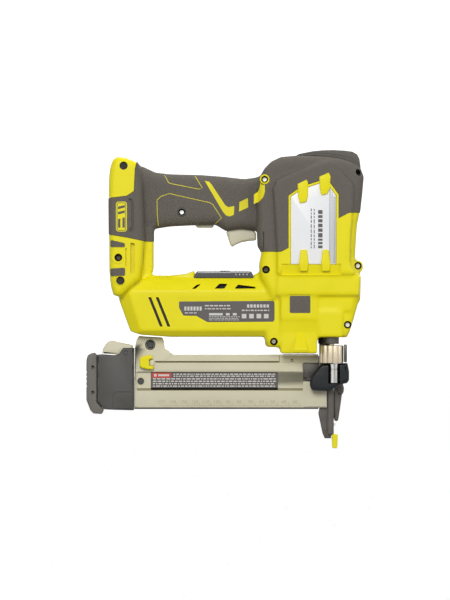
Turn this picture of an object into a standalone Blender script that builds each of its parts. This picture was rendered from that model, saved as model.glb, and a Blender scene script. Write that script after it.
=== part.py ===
"""Cordless brad nailer with an on-board air compressor, modelled piece by piece.

Metres, +Z up.  The tool stands on its work contact, fires along -Z, and its
handle and magazine run along X.  Lengths below are millimetres in the tool's
own frame: X = 0 on the driver's axis, Y = 0 on the parting plane, Z = 0 at the
bottom of the no-mar pad.  The frame is shifted so that the pad's centre is the
world origin.
"""
import math

import bmesh
import bpy
from mathutils import Matrix, Vector

MM = 0.001
GAP = 0.3                      # clearance between neighbouring pieces

# Driving sizes
PAD_X = 6.6                    # centre of the no-mar pad, forward of the driver
FOOT_HALF = 38.0               # half widths, from the parting plane
STEM_HALF = 20.0
GRIP_HALF = 17.5
HEAD_HALF = 40.0
CHIN_HALF = 31.0
TUBE_HALF = 30.0
MAGAZINE_HALF = 12.0
RUBBER = 2.0                   # thickness of the moulded rubber
WALL = 2.7                     # thickness of the housing wall
MOTOR_Z = 134.0                # height of the motor and gearbox axis
PUMP_X = -37.0                 # axis of the compressor cylinder
CRANK_THROW = 14.0
ROD_LENGTH = 83.0
PLANET_ORBIT = 9.2
DRIVER_X = -0.5                # centre of the driver blade and its channel
WHEEL_X, WHEEL_Y = 3.0, -19.8  # axis of the depth wheel
SLEEVE_X = 5.7                 # axis of the depth sleeve
LEVER_PIN = (-192.3, 90.8)
DOOR_PIN = (6.6, 22.5)
LATCH_PIN = (10.5, 57.0)

# Side outlines, X and Z
FOOT = [(-208, 231), (-207.4, 256), (-206, 268), (-202, 276), (-190, 275.3), (-180, 271),
        (-175, 250), (-173, 200), (-175.5, 172), (-178, 160), (-190, 150), (-197, 144.5),
        (-203.5, 146), (-206, 154), (-207.3, 168)]
STEM = [(-186, 154), (-176, 158), (-168, 164.5), (-165.5, 170), (-165.5, 212), (-186, 212)]
GRIP = [(-190, 270), (-176, 268), (-164, 262.4), (-150, 260.8), (-120, 260), (-100, 258.5),
        (-80, 256.2), (-70, 257.4), (-48, 264), (-48, 208), (-70, 207), (-83, 208.5),
        (-97, 206.5), (-107, 212.6), (-130, 212), (-150, 211), (-163, 209), (-190, 206)]
HEAD = [(-55, 140), (-65, 162), (-66, 175), (-63.5, 187), (-67, 192), (-67.5, 206),
        (-67.5, 246), (-65.5, 257), (-60.5, 266), (-54, 272.5), (-45, 276.8), (-30, 277.8), (-15, 277.5),
        (0, 276.3), (12, 274.5), (22, 271), (29, 266), (33, 257), (31.5, 243), (29.5, 225),
        (27, 213), (26, 200), (25, 182), (29, 168), (31.3, 163), (31, 140)]
CHIN = [(-58, 150), (-60, 104), (-55, 96), (-46, 91.5), (-10.5, 91.5), (-9.8, 105),
        (18, 105), (21, 111), (25, 124), (29, 138), (30, 150)]
TUBE = [(-199, 142), (-190, 119), (-186, 110), (-176, 107), (-150, 105.5), (-45, 105.5),
        (-45, 165), (-168, 164.8), (-177, 159), (-190, 150)]
RUBBER_AREA = [(-216, 236.5), (-191, 239.5), (-184, 244), (-183, 265), (-181, 274),
               (-175, 295), (60, 295), (60, 224), (20, 224), (10, 219), (10, 241),
               (2, 252), (-8.5, 254), (-19, 250.8), (-29.5, 246), (-38, 240), (-38, 190.5),
               (-45, 187), (-84, 187), (-110, 196), (-216, 204)]
WINDOW = [(-35.5, 175), (-35.5, 239), (-29, 243.5), (-19, 248), (-8.5, 251.5), (0, 250),
          (7.5, 240), (7.5, 175)]
CONSOLE = [(-129, 162), (-124.5, 168.3), (-73, 168.3), (-69.5, 162)]

# Housing screws: X, Z and the depth of the screw's seat from the parting plane
HOUSING_SCREWS = [(-139, 224.5, 12), (-60.3, 255.4, 26), (-59, 169.8, 26), (28.5, 173.5, 10),
                  (18.5, 117.5, 22), (-51.5, 101.5, 10), (-199, 181.2, 30)]
SCREW_HEAD = 2.7
SCREW_SHANK = 1.3
SCREW_REACH = 9.0              # how far a screw enters the far half

# Material: colour, roughness, metallic
FINISHES = {
    "yellow_plastic": ((0.87, 0.76, 0.0), 0.42, 0.0),
    "rubber": ((0.122, 0.109, 0.091), 0.8, 0.0),
    "black_plastic": ((0.05, 0.048, 0.042), 0.5, 0.0),
    "grey_plastic": ((0.13, 0.12, 0.10), 0.55, 0.0),
    "cream_plastic": ((0.68, 0.64, 0.45), 0.45, 0.0),
    "silver_plate": ((0.75, 0.76, 0.78), 0.3, 0.9),
    "steel": ((0.55, 0.55, 0.54), 0.3, 1.0),
    "dark_steel": ((0.1, 0.09, 0.08), 0.45, 0.8),
    "nickel": ((0.68, 0.58, 0.38), 0.3, 0.9),
    "aluminium": ((0.62, 0.63, 0.64), 0.4, 1.0),
    "copper": ((0.6, 0.25, 0.12), 0.4, 1.0),
    "board": ((0.02, 0.2, 0.07), 0.5, 0.0),
    "gloss_black": ((0.02, 0.02, 0.02), 0.15, 0.0),
}

AXES = {
    "X": Matrix(((0, 0, 1, 0), (1, 0, 0, 0), (0, 1, 0, 0), (0, 0, 0, 1))),
    "Y": Matrix(((1, 0, 0, 0), (0, 0, -1, 0), (0, 1, 0, 0), (0, 0, 0, 1))),
    "Z": Matrix.Identity(4),
}


def clear_scene():
    for obj in list(bpy.data.objects):
        bpy.data.objects.remove(obj)


def finish(name):
    """The Principled material of that name, made the first time it is asked for."""
    mat = bpy.data.materials.get(name)
    if mat:
        return mat
    colour, rough, metal = FINISHES[name]
    mat = bpy.data.materials.new(name)
    mat.use_nodes = True
    shader = mat.node_tree.nodes["Principled BSDF"]
    shader.inputs["Base Color"].default_value = (*colour, 1.0)
    shader.inputs["Roughness"].default_value = rough
    shader.inputs["Metallic"].default_value = metal
    return mat


def part(name, mesh, look=None):
    """Puts a mesh in the nailer's collection as one named object."""
    obj = bpy.data.objects.new(name, mesh)
    nailer.objects.link(obj)
    if look:
        mesh.materials.clear()
        mesh.materials.append(finish(look))
        # Each part carries its own material
        obj.material_slots[0].material = obj.material_slots[0].material.copy()
        obj.material_slots[0].material.name = name
    return obj


def bake(obj):
    """Replaces an object by the mesh that its modifiers or its curve make."""
    bpy.context.view_layer.update()
    graph = bpy.context.evaluated_depsgraph_get()
    mesh = bpy.data.meshes.new_from_object(obj.evaluated_get(graph))
    mesh.transform(obj.matrix_world)
    bm = bmesh.new()
    bm.from_mesh(mesh)
    bmesh.ops.remove_doubles(bm, verts=bm.verts, dist=0.000001)
    bm.to_mesh(mesh)
    bm.free()
    name = obj.name
    bpy.data.objects.remove(obj)
    return name, mesh


def shade(obj, angle=35):
    obj.data.shade_smooth()
    obj.data.set_sharp_from_angle(angle=math.radians(angle))
    return obj


def prism(name, outlines, low, high, look=None, axis="Y", edge=0.0, inset=0.0, steps=1):
    """A flat outline, or several with the inner ones as holes, made thick along an axis.

    The outline is in X and Z for axis Y, in Y and Z for axis X, in X and Y for
    axis Z.  edge rounds the rims, and inset shrinks the whole form evenly.
    """
    if isinstance(outlines[0][0], (int, float)):
        outlines = [outlines]
    curve = bpy.data.curves.new(name, "CURVE")
    curve.dimensions = "2D"
    curve.fill_mode = "BOTH"
    for outline in outlines:
        spline = curve.splines.new("POLY")
        spline.points.add(len(outline) - 1)
        spline.use_cyclic_u = True
        for point, (u, v) in zip(spline.points, outline):
            point.co = (u * MM, v * MM, 0, 1)
    rim = max(edge - inset, 0.0)
    half = (high - low) / 2 - inset
    curve.extrude = (half - rim) * MM
    curve.bevel_depth = rim * MM
    curve.bevel_resolution = steps
    curve.offset = -(rim + inset) * MM
    obj = bpy.data.objects.new(name, curve)
    nailer.objects.link(obj)
    middle = (low + high) / 2 * MM
    place = {"X": (middle, 0, 0), "Y": (0, middle, 0), "Z": (0, 0, middle)}[axis]
    obj.matrix_world = Matrix.Translation(place) @ AXES[axis]
    return part(*bake(obj), look)


def box(name, low, high, look=None, edge=0.0):
    low, high = Vector(low) * MM, Vector(high) * MM
    mesh = bpy.data.meshes.new(name)
    bm = bmesh.new()
    size = Matrix.Diagonal((*(high - low), 1.0))
    bmesh.ops.create_cube(bm, size=1.0, matrix=Matrix.Translation((low + high) / 2) @ size)
    if edge:
        bmesh.ops.bevel(bm, geom=bm.edges, offset=edge * MM, segments=1, affect="EDGES")
    bm.to_mesh(mesh)
    bm.free()
    return part(name, mesh, look)


def rod(name, axis, at, radius, low, high, look=None, sides=24):
    """A round bar along an axis; at is its centre in the two other directions."""
    mesh = bpy.data.meshes.new(name)
    bm = bmesh.new()
    bmesh.ops.create_cone(bm, cap_ends=True, segments=sides, radius1=radius * MM,
                          radius2=radius * MM, depth=(high - low) * MM)
    middle = (low + high) / 2
    place = {"X": (middle, at[0], at[1]), "Y": (at[0], middle, at[1]),
             "Z": (at[0], at[1], middle)}[axis]
    bm.transform(Matrix.Translation(Vector(place) * MM) @ AXES[axis])
    bm.to_mesh(mesh)
    bm.free()
    return shade(part(name, mesh, look))


def turned(name, axis, at, profile, look=None, steps=24, closed=False):
    """A lathe form; profile is (radius, height) down the outer side, top to bottom."""
    mesh = bpy.data.meshes.new(name)
    bm = bmesh.new()
    verts = [bm.verts.new((r * MM, 0, h * MM)) for r, h in profile]
    for a, b in zip(verts, verts[1:]):
        bm.edges.new((a, b))
    if closed:
        bm.edges.new((verts[-1], verts[0]))
    bm.to_mesh(mesh)
    bm.free()
    obj = bpy.data.objects.new(name, mesh)
    nailer.objects.link(obj)
    screw = obj.modifiers.new("turn", "SCREW")
    screw.steps = steps
    screw.render_steps = steps
    screw.use_merge_vertices = True
    screw.merge_threshold = 0.00001
    place = {"X": (0, at[0], at[1]), "Y": (at[0], 0, at[1]), "Z": (at[0], at[1], 0)}[axis]
    obj.matrix_world = Matrix.Translation(Vector(place) * MM) @ AXES[axis]
    return shade(part(*bake(obj), look))


def wire(name, points, radius, look=None, steps=1):
    curve = bpy.data.curves.new(name, "CURVE")
    curve.dimensions = "3D"
    curve.bevel_depth = radius * MM
    curve.bevel_resolution = steps
    curve.use_fill_caps = True
    spline = curve.splines.new("POLY")
    spline.points.add(len(points) - 1)
    for point, place in zip(spline.points, points):
        point.co = (*(Vector(place) * MM), 1)
    obj = bpy.data.objects.new(name, curve)
    nailer.objects.link(obj)
    return shade(part(*bake(obj), look))


def coil(name, axis, at, radius, low, high, turns, thick, look="steel", per_turn=8):
    """A wound spring along an axis."""
    points = []
    count = int(turns * per_turn)
    for i in range(count + 1):
        angle = math.tau * i / per_turn
        along = low + thick + (high - low - 2 * thick) * i / count
        u, v = radius * math.cos(angle), radius * math.sin(angle)
        points.append({"X": (along, at[0] + u, at[1] + v),
                       "Z": (at[0] + u, at[1] + v, along)}[axis])
    return wire(name, points, thick, look)


def boolean(obj, tool, how, keep=False):
    """Cuts, joins or intersects obj with tool, and returns the new object."""
    look = obj.data.materials[0] if obj.data.materials else None
    step = obj.modifiers.new(how, "BOOLEAN")
    step.operation = how
    step.solver = "EXACT"
    step.object = tool
    name, mesh = bake(obj)
    if not keep:
        bpy.data.objects.remove(tool)
    mesh.materials.clear()
    if look:
        mesh.materials.append(look)
    return part(name, mesh)


def cut(obj, *tools):
    for tool in tools:
        obj = boolean(obj, tool, "DIFFERENCE")
    return obj


def join(obj, *others):
    for other in others:
        obj = boolean(obj, other, "UNION")
    return obj


def duplicate(obj, name):
    return part(name, obj.data.copy())


def pivot(obj, place):
    """Moves a part's origin to a point of its joint's axis."""
    place = Vector(place) * MM
    obj.data.transform(Matrix.Translation(-place))
    obj.location = place
    return obj


def circle(u, v, radius, sides=24, start=0.0):
    return [(u + radius * math.cos(start + math.tau * i / sides),
             v + radius * math.sin(start + math.tau * i / sides)) for i in range(sides)]


def gear_outline(u, v, teeth, root, tip):
    points = []
    for i in range(teeth * 4):
        radius = tip if i % 4 in (1, 2) else root
        angle = math.tau * (i + 0.5) / (teeth * 4)
        points.append((u + radius * math.cos(angle), v + radius * math.sin(angle)))
    return points


# --- housing -----------------------------------------------------------------

def bodywork(inset, steps=1):
    """Foot, stem, handle and head as one form, shrunk evenly by inset."""
    foot = prism("form", FOOT, -FOOT_HALF, FOOT_HALF, edge=6, inset=inset, steps=steps)
    stem = prism("stem", STEM, -STEM_HALF, STEM_HALF, edge=3, inset=inset, steps=steps)
    grip = prism("grip", GRIP, -GRIP_HALF, GRIP_HALF, edge=10, inset=inset, steps=steps)
    head = prism("head", HEAD, -HEAD_HALF, HEAD_HALF, edge=8, inset=inset, steps=steps)
    return join(foot, stem, grip, head)


def motor_casing(inset):
    """Motor tube and chin, the two lower forms that carry no rubber."""
    tube = prism("casing", TUBE, -TUBE_HALF, TUBE_HALF, edge=11, inset=inset, steps=0)
    chin = prism("chin", CHIN, -CHIN_HALF, CHIN_HALF, edge=5, inset=inset, steps=1)
    return join(tube, chin)


def screw_pillars():
    """A pillar at each housing screw, from wall to wall."""
    return [rod("pillar", "Y", (x, z), 4.4, -60, 60, sides=12) for x, z, seat in HOUSING_SCREWS]


def cut_openings(shell):
    """Openings that both housing halves share."""
    shell = cut(shell, prism("console_seat", CONSOLE, -21.8, 21.8, inset=-GAP))
    shell = cut(shell, box("socket_mouth", (-216, -28.4, 203.6), (-200, 28.4, 252.4)))
    shell = cut(shell, box("trigger_mouth", (-97.4, -7, 186), (-67.9, 7, 224)))
    shell = cut(shell, box("grip_lever_mouth", (-126.6, -5, 200), (-108, 5, 220)))
    shell = cut(shell, box("nose_mouth", (-8.6, -8.3, 98), (6.0, 8.3, 112)))
    shell = cut(shell, rod("spring_mouth", "Z", (WHEEL_X, WHEEL_Y), 9.0, 98, 112, sides=20))
    for side in (-1, 1):
        outer, inner = side * (HEAD_HALF + 2), side * (HEAD_HALF - 2.8)
        low, high = min(outer, inner), max(outer, inner)
        shell = cut(shell, prism("window_seat", WINDOW, low, high, inset=-GAP))
        for x in (-169.5, -163):
            slot = [(x, 143.5), (x + 2, 143.5), (x + 13, 116), (x + 11, 116)]
            shell = cut(shell, prism("vent", slot, side * 31 - 5, side * 31 + 5))
    return shell


def build_housing():
    skin = bodywork(0)
    rubber_skin = duplicate(skin, "rubber_skin")
    area = prism("rubber_area", RUBBER_AREA, -60, 60)
    shell = boolean(skin, area, "DIFFERENCE", keep=True)
    shell = join(shell, bodywork(RUBBER + GAP, 0), motor_casing(0))
    shell = join(shell, rod("boss", "Y", (28.8, 173.5), 5.2, -13, 13, sides=20))
    shell = join(shell, rod("boss", "Y", (-52, 101.5), 6.0, -13, 13, sides=20))
    cavity = join(bodywork(RUBBER + WALL, 0), motor_casing(WALL))
    cavity = cut(cavity, *screw_pillars())
    shell = cut(shell, cavity)
    shell = cut_openings(shell)
    for x, z, seat in HOUSING_SCREWS:
        shell = cut(shell, rod("seat", "Y", (x, z), SCREW_HEAD + GAP, -60, -seat + 2.5, sides=12))
        shell = cut(shell, rod("hole", "Y", (x, z), SCREW_SHANK + GAP, -60, SCREW_REACH + 1,
                               sides=8))
    for side, name in ((-1, "housing_left"), (1, "housing_right")):
        near, far = sorted((side * GAP / 2, side * 80))
        half = box("half", (-260, near, 0), (120, far, 330))
        piece = boolean(duplicate(shell, name), half, "INTERSECT")
        piece.data.materials.append(finish("yellow_plastic").copy())
        shade(piece)
    bpy.data.objects.remove(shell)

    bpy.data.objects.remove(area)
    rubber = boolean(rubber_skin, prism("rubber_area", RUBBER_AREA, -60, 60, inset=GAP),
                     "INTERSECT")
    rubber = cut(rubber, bodywork(RUBBER, 0))
    rubber = cut(rubber, box("socket_mouth", (-216, -28.4, 203.6), (-200, 28.4, 252.4)))
    rubber = cut(rubber, box("trigger_mouth", (-97.4, -7, 186), (-67.9, 7, 224)))
    rubber = cut(rubber, box("grip_lever_mouth", (-126.6, -5, 200), (-108, 5, 220)))
    for x, z, seat in HOUSING_SCREWS[:2]:
        rubber = cut(rubber, rod("seat", "Y", (x, z), SCREW_HEAD + 0.6, -60, 0, sides=16))
    for side, name in ((-1, "rubber_cover_left"), (1, "rubber_cover_right")):
        near, far = sorted((side * GAP / 2, side * 80))
        half = box("half", (-260, near, 0), (120, far, 330))
        piece = boolean(duplicate(rubber, name), half, "INTERSECT")
        piece.data.materials.append(finish("rubber").copy())
        shade(piece)
    bpy.data.objects.remove(rubber)


def build_screws():
    for number, (x, z, seat) in enumerate(HOUSING_SCREWS, 1):
        head = -seat + 2.5 - GAP
        profile = [(0, 2.4 - head), (SCREW_HEAD, 2.4 - head), (SCREW_HEAD, -head),
                   (SCREW_SHANK, -head), (SCREW_SHANK, -SCREW_REACH), (0, -SCREW_REACH)]
        turned(f"housing_screw_{number}", "Y", (x, z), profile, "dark_steel", steps=16)


def build_head_trim():
    for side, name in ((-1, "window_panel_left"), (1, "window_panel_right")):
        low, high = sorted((side * (HEAD_HALF - 0.4), side * (HEAD_HALF - 2.5)))
        prism(name, WINDOW, low, high, "silver_plate", edge=0.4, steps=0)
    cap = [(-30, 278.3), (-27, 280), (-15, 282.3), (-5, 283.3), (5, 283.5), (15, 283),
           (23, 282), (27.5, 279), (29.5, 275), (31, 266.6), (29.4, 266.6), (22.2, 271.5),
           (12, 275.1), (0, 276.9), (-15, 278.1)]
    top = prism("top_cap", cap, -22, 22, "black_plastic", edge=0.8, steps=0)
    top = cut(top, rod("dial_seat", "Z", (0, 0), 10.6, 280.3, 290, sides=32))
    shade(top)
    dial = prism("pressure_dial", gear_outline(0, 0, 16, 9.6, 10.2), 280.6, 283.0,
                 "grey_plastic", axis="Z", edge=0.3, steps=0)
    pivot(dial, (0, 0, 281))
    console = prism("control_panel", CONSOLE, -21.5, 21.5, "gloss_black", edge=0.8, steps=0)
    cut(console, rod("button_hole", "Z", (-98, 0), 5.4, 150, 180, sides=24))
    button = turned("mode_button", "Z", (-98, 0),
                    [(0, 169), (4.4, 169), (5, 168.4), (5, 163), (0, 163)], "rubber", steps=24)
    pivot(button, (-98, 0, 168))


# --- motor, gearbox and compressor ---------------------------------------------

def build_motor():
    axis = (0, MOTOR_Z)
    can = [(21.5, -124), (21.5, -176.5), (5, -176.5), (5, -174), (18.5, -174), (18.5, -126.5),
           (5, -126.5), (5, -124)]
    turned("motor_can", "X", axis, can, "steel", closed=True)
    rotor = [(0, -108), (2.4, -108), (2.4, -130), (16, -131), (16, -169), (2.4, -170),
             (2.4, -180), (0, -180)]
    rotor = turned("motor_rotor", "X", axis, rotor, "copper", steps=24)
    pinion = prism("pinion", gear_outline(0, MOTOR_Z, 8, 2.8, 3.4), -114, -104, axis="X")
    pivot(shade(join(rotor, pinion)), (-150, 0, MOTOR_Z))
    ring = [(18, -84), (18, -121), (14.9, -121), (14.9, -88), (5.5, -88), (5.5, -84)]
    turned("ring_gear", "X", axis, ring, "dark_steel", closed=True)
    for number in range(3):
        angle = math.tau * number / 3 + math.radians(30)
        y, z = PLANET_ORBIT * math.cos(angle), MOTOR_Z + PLANET_ORBIT * math.sin(angle)
        planet = prism(f"planet_gear_{number + 1}",
                       [gear_outline(y, z, 12, 4.7, 5.4), circle(y, z, 2.1, 12)],
                       -113, -102, "steel", axis="X")
        pivot(planet, (-108, y, z))
    carrier = turned("gear_carrier", "X", axis,
                     [(0, -50), (4.2, -50), (5, -51), (5, -96), (13.5, -96), (13.5, -100.5),
                      (0, -100.5)], "steel", steps=24)
    for number in range(3):
        angle = math.tau * number / 3 + math.radians(30)
        y, z = PLANET_ORBIT * math.cos(angle), MOTOR_Z + PLANET_ORBIT * math.sin(angle)
        carrier = join(carrier, rod("pin", "X", (y, z), 1.7, -112, -98, sides=12))
    pivot(shade(carrier), (-98, 0, MOTOR_Z))
    crank = turned("crank_wheel", "X", axis,
                   [(0, -45), (19, -45), (19, -52), (5.4, -52), (5.4, -49.5), (0, -49.5)],
                   "steel", steps=32)
    crank = join(crank, rod("crank_pin", "X", (0, MOTOR_Z - CRANK_THROW), 3.8, -47, -40.6))
    pivot(shade(crank), (-48, 0, MOTOR_Z))


def build_compressor():
    at = (PUMP_X, 0)
    low, high = PUMP_X - 3, PUMP_X + 3
    big, small = MOTOR_Z - CRANK_THROW, MOTOR_Z - CRANK_THROW + ROD_LENGTH
    turned("compressor_cylinder", "Z", at, [(18, 252), (18, 182), (15.5, 182), (15.5, 252)],
           "aluminium", closed=True)
    piston = rod("compressor_piston", "Z", at, 15.1, small - 6, small + 8, "aluminium", 32)
    piston = cut(piston, box("rod_slot", (low - 0.5, -9, small - 12), (high + 0.5, 9, small + 5.6)))
    piston = cut(piston, rod("pin_bore", "X", (0, small), 2.8, low - 20, high + 20, sides=16))
    pivot(shade(piston), (PUMP_X, 0, small))
    arc = [(5 * math.cos(a), small + 5 * math.sin(a))
           for a in [math.radians(d) for d in range(-50, 231, 28)]]
    arc += [(8 * math.cos(a), big + 8 * math.sin(a))
            for a in [math.radians(d) for d in range(120, 421, 30)]]
    link = prism("connecting_rod", [arc, circle(0, big, 4.4, 16)], low, high, "aluminium",
                 axis="X")
    shade(join(link, rod("wrist_pin", "X", (0, small), 2.5, PUMP_X - 12, PUMP_X + 12, sides=16)))
    box("cylinder_head", (-55.2, -18, 252.4), (18, 18, 260), "aluminium", edge=1.2)


def build_driver():
    turned("drive_cylinder", "Z", (0, 0),
           [(17, 252), (17, 138), (6, 138), (6, 140.5), (14.5, 140.5), (14.5, 252)],
           "aluminium", closed=True)
    turned("drive_bumper", "Z", (0, 0), [(12, 159.5), (14.2, 157), (14.2, 140.9), (5, 140.9),
                                         (5, 159.5)], "rubber", closed=True)
    pivot(turned("drive_piston", "Z", (0, 0), [(0, 246), (13.6, 246), (14.1, 245.4), (14.1, 236.4),
                                               (0, 236.4)], "aluminium"), (0, 0, 240))
    pivot(box("driver_blade", (DRIVER_X - 1.7, -0.8, 80), (DRIVER_X + 1.7, 0.8, 236), "steel"),
          (0, 0, 160))


# --- battery end ---------------------------------------------------------------

def build_battery_end():
    receiver = box("battery_receiver", (-206.8, -28, 204), (-181.2, 28, 252), "black_plastic", 1)
    cut(receiver, box("pocket", (-212, -25, 207), (-184.2, 25, 249), edge=1))
    block = box("battery_contacts", (-198, -15, 221), (-184.6, 15, 235), "grey_plastic", 0.8)
    for y in (-9, 0, 9):
        block = cut(block, box("slot", (-205, y - 1, 217), (-189, y + 1, 232)))
    box("circuit_board", (-126, -16, 157.0), (-72, 16, 158.6), "board")


def build_trigger():
    outline = [(-96.8, 205), (-94, 208.5), (-94, 217), (-70.5, 217), (-70.5, 208),
               (-68.2, 204), (-68.2, 197.5), (-75, 197.5), (-82, 196.5), (-87, 194),
               (-90.5, 191.5), (-92.5, 193), (-95, 200)]
    pivot(prism("trigger", outline, -6.5, 6.5, "cream_plastic", edge=1.2, steps=1),
          (-82, 0, 204))
    coil("trigger_spring", "Z", (-83, 0), 3.2, 217.3, 231.6, 4, 0.45, per_turn=7)
    box("trigger_switch", (-97, -8, 232), (-70, 8, 247), "black_plastic", 0.8)
    pivot(box("grip_lever", (-126, -4.4, 209.6), (-108.6, 4.4, 216.5), "cream_plastic", 0.8),
          (-117, 0, 211))


# --- magazine ------------------------------------------------------------------

def build_magazine():
    side = [(-184, 38.6), (-184, 95), (-182, 103), (-180, 107), (-176, 106.4), (-157.5, 105.3),
            (-156, 101), (-155.5, 95), (-147, 89), (-46, 89), (-46, 81.5), (-21.3, 81.5),
            (-21.3, 55.3), (-1, 55.3), (-1, 38.6)]
    cover = prism("magazine_housing", side, -MAGAZINE_HALF, MAGAZINE_HALF, "cream_plastic",
                  edge=0.8, steps=0)
    cover = cut(cover, box("slot", (-190, -6.3, 30), (3, 6.3, 79.5)))
    cover = cut(cover, box("nose_room", (-21, -8.3, 30), (3, 8.3, 60)))
    finger = box("finger", (-169.5, -14.6, 78.6), (-165, -11, 84.4))
    cover = join(cover, finger)
    for x, z, radius in ((-169, 98.5, 4.6), (-178, 64, 3.6)):
        cover = cut(cover, rod("seat", "Y", (x, z), radius, -20, -9.6, sides=20))
        cover = cut(cover, rod("hole", "Y", (x, z), 1.7, -20, 20 if z > 90 else 0, sides=12))
    shade(cover)
    profile = [(0, 11.7), (4.2, 11.7), (4.2, 9.9), (1.4, 9.9), (1.4, -9), (0, -9)]
    turned("magazine_screw_1", "Y", (-169, 98.5), profile, "dark_steel", steps=16)
    profile = [(0, 11.7), (3.3, 11.7), (3.3, 9.9), (1.4, 9.9), (1.4, 6.8), (0, 6.8)]
    turned("magazine_screw_2", "Y", (-178, 64), profile, "dark_steel", steps=16)
    bracket = box("nose_bracket", (-20.7, -8.2, 64), (-8.4, 8.2, 88), "dark_steel", 0.8)
    bracket = join(bracket, box("upper_guide", (-45.7, -9.5, 82), (-16, 9.5, 88.6)))
    cut(bracket, box("slot", (-30, -6.2, 60), (0, 6.2, 80)))

    rail = box("magazine_rail", (-184.2, -5.9, 37.2), (-8.9, 5.9, 68), "dark_steel")
    pivot(cut(rail, box("slot", (-181, -1.4, 39.5), (0, 1.4, 90))), (-184, 0, 50))
    pusher = box("nail_pusher", (-22, -5.6, 68.5), (-10, 5.6, 79), "black_plastic", 0.6)
    pusher = join(pusher, box("web", (-22, -1.0, 41), (-9.6, 1.0, 70)))
    pivot(pusher, (-16, 0, 70))
    coil("pusher_spring", "X", (0, 73.9), 4.0, -184, -22.4, 11, 0.5, per_turn=6)

    end = [(-219.5, 44), (-219.5, 89), (-215, 89.3), (-204, 88.4), (-199, 89), (-196.5, 93),
           (-195, 95.5), (-184.6, 95.5), (-184.6, 36), (-204, 36.5), (-213, 37)]
    body = prism("magazine_end", end, -13, 13, "black_plastic", edge=1.0, steps=0)
    body = cut(body, box("lever_room", (-225, -9.3, 88.2), (-180, 9.3, 110)))
    body = cut(body, box("lever_heel_room", (-199, -9.3, 83), (-180, 9.3, 90)))
    body = cut(body, rod("pin_hole", "Y", LEVER_PIN, 2.3, -20, 20, sides=16))
    pivot(shade(body), (-200, 0, 60))
    cap = [(-229.8, 46), (-229.8, 84), (-228.5, 88.5), (-226, 90), (-222, 91), (-219.9, 89),
           (-219.9, 43.8), (-213.4, 36.4), (-215, 32.5), (-223, 33), (-226, 36)]
    cap_piece = prism("magazine_end_cap", cap, -13, 13, "grey_plastic", edge=0.9, steps=0)
    for z in (77, 53):
        cap_piece = cut(cap_piece, rod("hole", "Y", (-223.5, z), 1.8, -20, -10, sides=12))
    lever = [(-215, 90.2), (-214, 95), (-211.5, 99), (-209, 101.5), (-206, 102.5),
             (-185.8, 98), (-185.8, 90), (-190, 87.2), (-200, 89)]
    lever_piece = prism("release_lever", lever, -9, 9, "cream_plastic", edge=0.8, steps=0)
    lever_piece = join(lever_piece, rod("pin", "Y", LEVER_PIN, 2.0, -12.6, 12.6, sides=16))
    pivot(shade(lever_piece), (LEVER_PIN[0], 0, LEVER_PIN[1]))
    clip = [(-179, 85.5), (-177, 87.5), (-170, 88.5), (-167, 88.3), (-166.5, 85), (-169.9, 84.5),
            (-169.9, 78.5), (-165.5, 78), (-165.5, 76), (-167, 75), (-172, 75.2), (-177, 76.5),
            (-179, 78)]
    prism("spare_pad", clip, -17.5, -12.4, "yellow_plastic", edge=0.8, steps=0)


# --- nose ----------------------------------------------------------------------

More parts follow.
